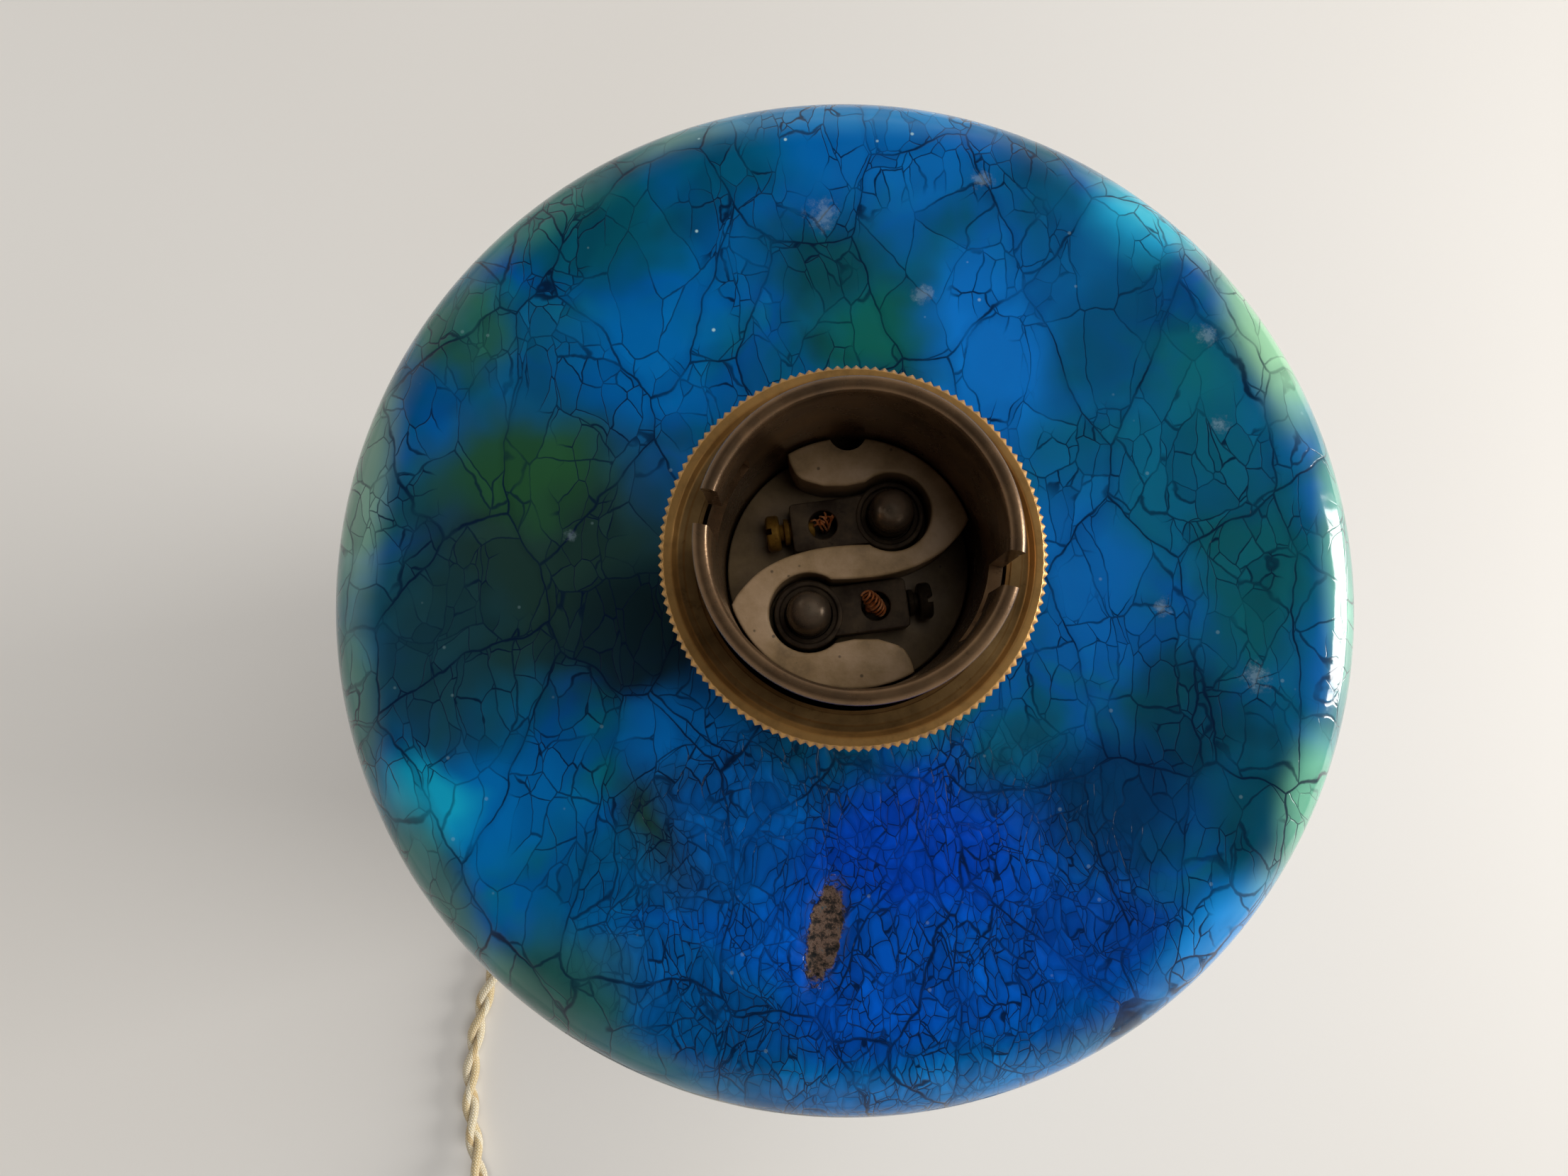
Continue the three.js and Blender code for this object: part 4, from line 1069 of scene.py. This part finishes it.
def insert():
    """The porcelain insert: raised S, floor with holes for the contacts and wires, and flange."""
    rim, floor, top, bottom = INSERT["radius"], INSERT["floor"], INSERT["top"], INSERT["bottom"]
    wall = slab([wall_outline()], floor - 0.6, top, 0.28)
    notch = moved(bar(1.7, floor - 2, top + 1, 0), shift(-0.2, rim + 0.5))
    wall = cut(wall, notch)
    x, y, _ = WELL
    reach, hole = WIRE_HOLE
    away = math.radians(TERMINAL["turn"])
    holes = []
    for side in (1, -1):
        holes.append(circle(side * x, side * y, 3.25))
        holes.append(circle(side * (x - reach * math.cos(away)), side * (y - reach * math.sin(away)),
                            hole + 0.15, count=32))
    base = slab([circle(0, 0, rim, count=96), *holes], bottom + 0.6, floor, 0.2)
    wide, high = INSERT["flange"], INSERT["flange_top"]
    flange = lathe([(rim - 2, bottom, 0.2), (wide, bottom, 0.2), (wide, high, 0.2), (rim - 2, high, 0.2)])
    whole = joined(wall, base, flange)
    stand_for("lamp_insert", whole, PORCELAIN, "porcelain_insert", sharp=40)


def terminal():
    """A contact's cup and its clamping block, along +X from the cup's axis."""
    top, bottom, reach, half = (TERMINAL[key] for key in ("top", "bottom", "reach", "half"))
    hole_at, hole = WIRE_HOLE
    end = rounded([(3.5, -half), (reach, -half), (reach, half), (3.5, half)], [0, 0.4, 0.4, 0])
    block = end + circle(0, 0, 2.85, 50, -50, 14)
    arm = slab([block, circle(hole_at, 0, hole, count=32)], INSERT["floor"] + 0.15, top - 0.15, 0.14)
    cup = lathe([(0, bottom, 0), (3.05, bottom, 0.3), (3.05, top, 0.14), (2.62, top, 0.12),
                 (2.55, top - 0.35, 0.1), (2.14, top - 0.4, 0.12), (2.14, top - 0.9, 0.05),
                 (2.3, top - 1.0, 0.05), (2.3, bottom + 0.8, 0.1), (0, bottom + 0.8, 0)], 64)
    return joined(arm, cup)


def terminal_screw():
    """A slotted cheese-head screw with a collar, in the end of the clamping block."""
    reach = TERMINAL["reach"]
    shank = bar(0.8, reach - 2.1, reach + 0.6, 0.1, 20)
    collar = lathe([(0, reach + 0.16, 0), (1.2, reach + 0.16, 0.12), (1.2, reach + 0.66, 0.12),
                    (0.75, reach + 0.7, 0.05), (0.75, reach + 1.1, 0.05), (0, reach + 1.1, 0)], 32)
    head = bar(1.65, reach + 1.05, reach + 2.3, 0.35, 40)
    head = cut(head, box_mesh(-2, 2, -0.28, 0.28, reach + 1.8, reach + 3))
    whole = joined(shank, collar, head)
    whole.transform(shift(z=TERMINAL["screw_z"]) @ ALONG_X)
    return whole


def plunger():
    """A domed contact with a fine groove round it and a flange that holds it in its cup."""
    size, flange, crown, low = PLUNGER.values()
    dome = [(size * math.cos(a), crown - size + size * math.sin(a))
            for a in np.linspace(0, math.pi / 2, 18)]
    skirt = rounded([(0, low), (flange, low), (flange, low + 1), (size, low + 1.05)], [0, 0.15, 0.15, 0])
    return turned([*skirt, (size, 284.6), (size - 0.07, 284.75), (size, 284.9), *dome], 64)


def spring():
    """Close ends and open coils, from the cup's floor to the plunger's flange."""
    low, high, size, wire = SPRING["low"], SPRING["high"], SPRING["radius"], SPRING["wire"]
    t = np.linspace(0, 1, 160)
    rise = np.clip((t - 0.12) / 0.76, 0, 1)
    a = 2 * np.pi * SPRING["turns"] * t
    path = np.stack([size * np.cos(a), size * np.sin(a), low + wire + (high - low - 2 * wire) * rise], 1)
    return tube_mesh(path, wire, 8)


def frayed_strands():
    """Short bared wires that bend over one another at the near side of the wire hole."""
    wires = []
    for i in range(11):
        a = i * 2.399
        lean = 0.35 + 0.45 * ((i * 7) % 5) / 4
        base = Vector((0.25 * math.cos(a), -0.35 + 0.25 * math.sin(a), 279.6))
        middle = base + Vector((0.15 * math.cos(a), 0.1 * math.sin(a), 2.2))
        tip = middle + Vector((lean * math.cos(a * 1.7), -0.55 + 0.3 * math.sin(a * 1.7), 0.9))
        end = tip + Vector((0.45 * math.cos(a * 2.3), 0.3 * math.sin(a * 2.3), -0.25 + 0.06 * (i % 4)))
        wires.append(tube_mesh(smooth_path([base, middle, tip, end], 0.2), 0.1, 6))
    return joined(*wires)


def coiled_strands():
    """A tidy bared end, its wires twisted round and round and laid over at a slant."""
    wires = []
    for i in range(2):
        t = np.linspace(0, 1, 130)
        a = 2 * np.pi * (3.4 * t + i / 2)
        swell = 0.42 + 0.26 * np.sin(np.pi * t)
        path = np.stack([swell * np.cos(a), swell * np.sin(a), 2.8 * t], 1)
        wires.append(tube_mesh(path, 0.11, 8))
    whole = joined(*wires)
    whole.transform(shift(0.75, -0.95, 282.1) @ turn(38, "Z") @ turn(-52, "X"))
    stem = moved(bar(0.45, 279.6, 281.9, 0.1, 12), shift(-0.3, -0.35))
    return joined(whole, stem)


def contacts():
    """Both sets of terminal, side screw, plunger, spring and bared wire."""
    for letter, side, screw_metal, wires in (("a", 1, SCREW_BRASS, frayed_strands()),
                                             ("b", -1, DULL_SCREW, coiled_strands())):
        middle = (side * WELL[0], side * WELL[1])
        place = shift(*middle) @ turn(TERMINAL["turn"] + (180 if side > 0 else 0))
        pieces = {}
        for name, mesh, material, node, slot, body, sharp in (
                ("terminal", terminal(), CONTACT_BRASS, "contact_terminal", "dark_brass", LAMP, 35),
                ("side_screw", terminal_screw(), screw_metal, "terminal_screw", "screw_brass",
                 f"terminal_screw_{letter}", 35),
                ("plunger", plunger(), PLUNGER_METAL, "contact_plunger", "dark_brass",
                 f"plunger_{letter}", 60),
                ("spring", spring(), STEEL, "contact_spring", "steel", LAMP, 35)):
            pieces[name] = stand_for(f"{name}_{letter}", moved(mesh, place), material,
                                     f"{node}_{letter}", body, sharp)
        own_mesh(pieces["spring"])
        wires = moved(wires, place @ shift(WIRE_HOLE[0] - 0.2, 0.35))
        stand_for(f"copper_{letter}", wires, COPPER, f"wire_strands_{letter}", sharp=60)


# ---- switch and plug ----

def loft(stations, sides=72, power=4.0):
    """A solid along X through softly squared sections: each station is x, half width, half height."""
    angles = np.linspace(0, 2 * np.pi, sides, endpoint=False)
    across = np.sign(np.cos(angles)) * np.abs(np.cos(angles)) ** (2 / power)
    up = np.sign(np.sin(angles)) * np.abs(np.sin(angles)) ** (2 / power)
    points = [(x, wide * a, tall * u) for x, wide, tall in stations for a, u in zip(across, up)]
    faces = [(i * sides + j, i * sides + (j + 1) % sides, (i + 1) * sides + (j + 1) % sides,
              (i + 1) * sides + j) for i in range(len(stations) - 1) for j in range(sides)]
    last = (len(stations) - 1) * sides
    faces += [tuple(range(sides))[::-1], tuple(last + j for j in range(sides))]
    mesh = mesh_from(points, faces)
    weld(mesh)
    return mesh


SWITCH = {"x": -103.5, "y": -195.6, "length": 62.0, "width": 27.0, "corner": 9.0, "edge": 3.2,
          "axis": 15.6, "rocker_length": 19.0, "rocker_width": 11.6, "tilt": 9.0,
          "screw_x": 8.5, "screw_y": 25.0}
FLEX_IN_SWITCH = 8.0


def rectangle(width, length, corner, steps=8):
    """An outline with equal rounded corners, about the origin."""
    w, h = width / 2, length / 2
    return rounded([(-w, -h), (w, -h), (w, h), (-w, h)], corner, steps)


def switch_halves():
    """The in-line switch's two shells, cut from one body with room for its works."""
    low, split, top = SWITCH_LOW.z, SWITCH_HIGH.z, SWITCH_TOP
    width, length = SWITCH["width"], SWITCH["length"]
    body = slab([rectangle(width, length, SWITCH["corner"])], low, top, SWITCH["edge"])
    room = slab([rectangle(width - 4.4, length - 22, 6)], low + 2, top - 2, 1.0)
    entry = moved(bar(FLEX_RADIUS + 0.35, -40, 40, 0), shift(z=FLEX_IN_SWITCH) @ turn(90, "X"))
    body = cut(body, room, entry)
    window = slab([rectangle(SWITCH["rocker_width"] + 1.4, SWITCH["rocker_length"] + 2, 1.2)],
                  split, top + 2, 0.02)
    below = box_mesh(-length, length, -length, length, -5, split + 0.3)
    above = box_mesh(-length, length, -length, length, split, top + 5)
    wells = [moved(bar(2.6, -1, 2.5, 0), shift(side * SWITCH["screw_x"], side * SWITCH["screw_y"]))
             for side in (-1, 1)]
    pieces = []
    for name, mesh, node in (("switch_shell_lower", cut(cut(body, above), *wells), "switch_base"),
                             ("switch_shell_upper", cut(body, below, window), "switch_cover")):
        mesh.transform(shift(SWITCH["x"], SWITCH["y"]))
        pieces.append(stand_for(name, mesh, BAKELITE, node, sharp=45))
    return pieces


def rocker():
    """The rocker, dished on top and tipped to one side; it tilts about X through its axis."""
    half = SWITCH["rocker_length"] / 2
    shoulder, crown, foot = 1.6, 5.0, -3.2
    dish = [(y, crown - 2.6 * (1 - (y / (half - 1.8)) ** 2))
            for y in np.linspace(half - 1.9, 1.9 - half, 18)]
    outline = [(-half, shoulder), (-half + 2, foot), (half - 2, foot), (half, shoulder),
               (half - 0.5, crown - 0.9), *dish, (-half + 0.5, crown - 0.9)]
    width = SWITCH["rocker_width"] / 2
    paddle = slab([outline], -width, width, 0.4)
    paddle.transform(turn(90) @ turn(90, "X"))
    place = shift(SWITCH["x"], SWITCH["y"], SWITCH["axis"]) @ turn(-SWITCH["tilt"], "X")
    paddle.transform(place)
    return stand_for("rocker_paddle", paddle, IVORY, "switch_rocker", "rocker", sharp=40)


PLUG = {"x": 51.9, "y": -226.0, "turn": 3.0, "length": 40.0, "width": 35.0, "neck": 11.0,
        "pins": 9.3, "pin_radius": 2, "pin_reach": 19.0, "screw": 29.0}


def plug_shell(low, high):
    """The plug's body: a ridged neck that swells into a flat, softly squared head."""
    w, n, length, tall = PLUG["width"] / 2, PLUG["neck"] / 2, PLUG["length"], (high - low) / 2
    stations = [(0, n - 1.4, tall - 2.2), (0.5, n - 0.5, tall - 1.2), (1.6, n, tall - 0.8),
                (8, n + 0.3, tall - 0.5), (13, n + 0.6, tall - 0.2), (16.5, n + 2.2, tall),
                (19.2, w - 5.6, tall), (21.6, w - 2.4, tall), (24.4, w - 0.4, tall), (28, w, tall),
                (34, w - 0.4, tall), (38.2, w - 0.8, tall - 0.1), (39.4, w - 1.3, tall - 0.6),
                (length, w - 2.4, tall - 1.8)]
    middle = (low + high) / 2
    body = moved(loft(smooth_path(stations, 0.7)), shift(z=middle))
    bores = [moved(bar(FLEX_RADIUS + 0.3, -3, 12, 0), shift(z=middle) @ ALONG_X)]
    pin_hole = bar(PLUG["pin_radius"] + 0.15, length - 8, length + 3, 0)
    bores += [moved(pin_hole, shift(0, y, middle) @ ALONG_X) for y in (-PLUG["pins"], PLUG["pins"])]
    bores.append(moved(bar(2.9, high - 3.2, high + 3, 0), shift(PLUG["screw"])))
    grooves = [box_mesh(x, x + 0.8, -n * 2, n * 2, high - 0.5, high + 2) for x in (3.5, 5.8, 8.1)]
    return cut(body, *bores, *grooves)


def plug_pin():
    """A round split pin along Z."""
    start, end, radius = PLUG["length"] - 7.6, PLUG["length"] + PLUG["pin_reach"], PLUG["pin_radius"]
    pin = lathe([(0, start, 0), (radius, start, 0.2), (radius, end - 1.2, 1.0), (1.3, end - 0.2, 0.5),
                 (0, end, 0)], 40)
    return cut(pin, box_mesh(-3, 3, -0.3, 0.3, PLUG["length"] + 3, end + 1))


def plug_screw(top):
    """The slotted head of the screw that holds the plug's cover."""
    head = lathe([(0, top - 2.2, 0), (2.6, top - 2.2, 0.1), (2.6, top - 0.5, 0.3), (1.6, top, 0.8),
                  (0, top, 0)], 40)
    return cut(head, box_mesh(-3, 3, -0.4, 0.4, top - 0.8, top + 1))


def plug():
    """The two-pin plug on the flex's end, lying flat."""
    low, high = (corner.z for corner in span("plug_body"))
    place = shift(PLUG["x"], PLUG["y"]) @ turn(PLUG["turn"])
    pieces = [stand_for("plug_shell", moved(plug_shell(low, high), place), BAKELITE, "plug_body",
                        sharp=45)]
    for letter, y in (("a", PLUG["pins"]), ("b", -PLUG["pins"])):
        pin = moved(plug_pin(), place @ shift(0, y, (low + high) / 2) @ ALONG_X)
        pieces.append(stand_for(f"round_pin_{letter}", pin, NICKEL, f"plug_pin_{letter}",
                                sharp=50))
    head = moved(plug_screw(high - 0.6), place @ shift(PLUG["screw"]) @ turn(25))
    pieces.append(stand_for("cover_screw", head, NICKEL, "plug_screw"))
    return pieces


# ---- nodes that stay as they are ----

SWITCH_WORKS = ("switch_screw_a", "switch_screw_b", "switch_contact_a", "switch_contact_b")
KEPT = (
    (PLAIN_BRASS, ("threaded_nipple", "nipple_nut", "seat_washer", "switch_contact_a", "switch_contact_b")),
    (STEEL, ("steel_washer", "cap_set_screw")),
    (NICKEL, ("switch_screw_a", "switch_screw_b")),
    (CORE_PAPER, ("core_a", "core_b")),
    (RUBBER, ("rubber_washer",)),
)


def finish_kept():
    """Materials for the CAD nodes that are shown as they are."""
    for material, names in KEPT:
        for name in names:
            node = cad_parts[name]
            node.data.materials.clear()
            node.data.materials.append(material)


# ---- stage and light ----

TABLE_REACH = 6000
WINDOW = {"place": (1.1, 0.06, 0.34), "aim": (0, 0, 0.2), "size": (0.42, 0.52), "power": 13}
SKY = {"power": 1.75, "spread": 50, "tilt": (-14, 24, 0)}
ROOM = {"low": (0.1, "e9e2d9"), "high": (0.85, "2e2c2b"), "strength": 0.9}


def table_top():
    """The plain pale floor, wide enough to reach past every view."""
    paint = Paint("table", Roughness=0.6)
    soft = paint.noise(420, 2, 0.5)
    paint.set("Base Color", paint.ramp(soft, (0.35, "e0dcd6"), (0.65, "e4e1dc")))
    corners = [(x * TABLE_REACH, y * TABLE_REACH, 0) for x, y in ((-1, -1), (1, -1), (1, 1), (-1, 1))]
    floor = linked(bpy.data.objects.new("table", mesh_from(corners, [(0, 1, 2, 3)])))
    floor.data.materials.append(paint.material)


def window_light():
    """A tall window to the right, low over the table."""
    data = bpy.data.lights.new("window", "AREA")
    data.shape = "RECTANGLE"
    data.size, data.size_y = WINDOW["size"]
    data.energy = WINDOW["power"]
    data.color = tone("fffdfa")[:3]
    light = linked(bpy.data.objects.new("window", data))
    light.location = WINDOW["place"]
    to_aim = Vector(WINDOW["aim"]) - Vector(WINDOW["place"])
    light.rotation_euler = to_aim.to_track_quat("-Z", "Y").to_euler()


def sky_light():
    """Wide soft light from above that leaves no mirror image in the glaze."""
    data = bpy.data.lights.new("sky", "SUN")
    data.energy = SKY["power"]
    data.angle = math.radians(SKY["spread"])
    sky = linked(bpy.data.objects.new("sky", data))
    sky.rotation_euler = Euler([math.radians(angle) for angle in SKY["tilt"]])
    sky.visible_glossy = False


def room_light():
    """Pale walls low down and a dark ceiling."""
    world = bpy.data.worlds.new("room")
    world.use_nodes = True
    tree = world.node_tree
    place = tree.nodes.new("ShaderNodeTexCoord").outputs["Generated"]
    split = tree.nodes.new("ShaderNodeSeparateXYZ")
    band = tree.nodes.new("ShaderNodeValToRGB")
    background = tree.nodes["Background"]
    tree.links.new(place, split.inputs[0])
    tree.links.new(split.outputs["Z"], band.inputs["Fac"])
    tree.links.new(band.outputs["Color"], background.inputs["Color"])
    for element, (height, colour) in zip(band.color_ramp.elements, (ROOM["low"], ROOM["high"])):
        element.position = height
        element.color = tone(colour)
    background.inputs["Strength"].default_value = ROOM["strength"]
    bpy.context.scene.world = world


# ---- the scene ----

bpy.context.scene.view_settings.view_transform = "Standard"
make_camera()
flex, flex_path = free_flex()
tie = coil_tie()
inner_flex()
ceramic()
felt_pad()
bush = ribbed_bush()
barrel()
knurled_ring()
cap()
insert()
contacts()
shells = switch_halves()
paddle = rocker()
plug_pieces = plug()
finish_kept()
table_top()
window_light()
sky_light()
room_light()

on_flex = [*shells, paddle, *plug_pieces, tie, bush]
on_flex += [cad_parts[name] for name in SWITCH_WORKS]
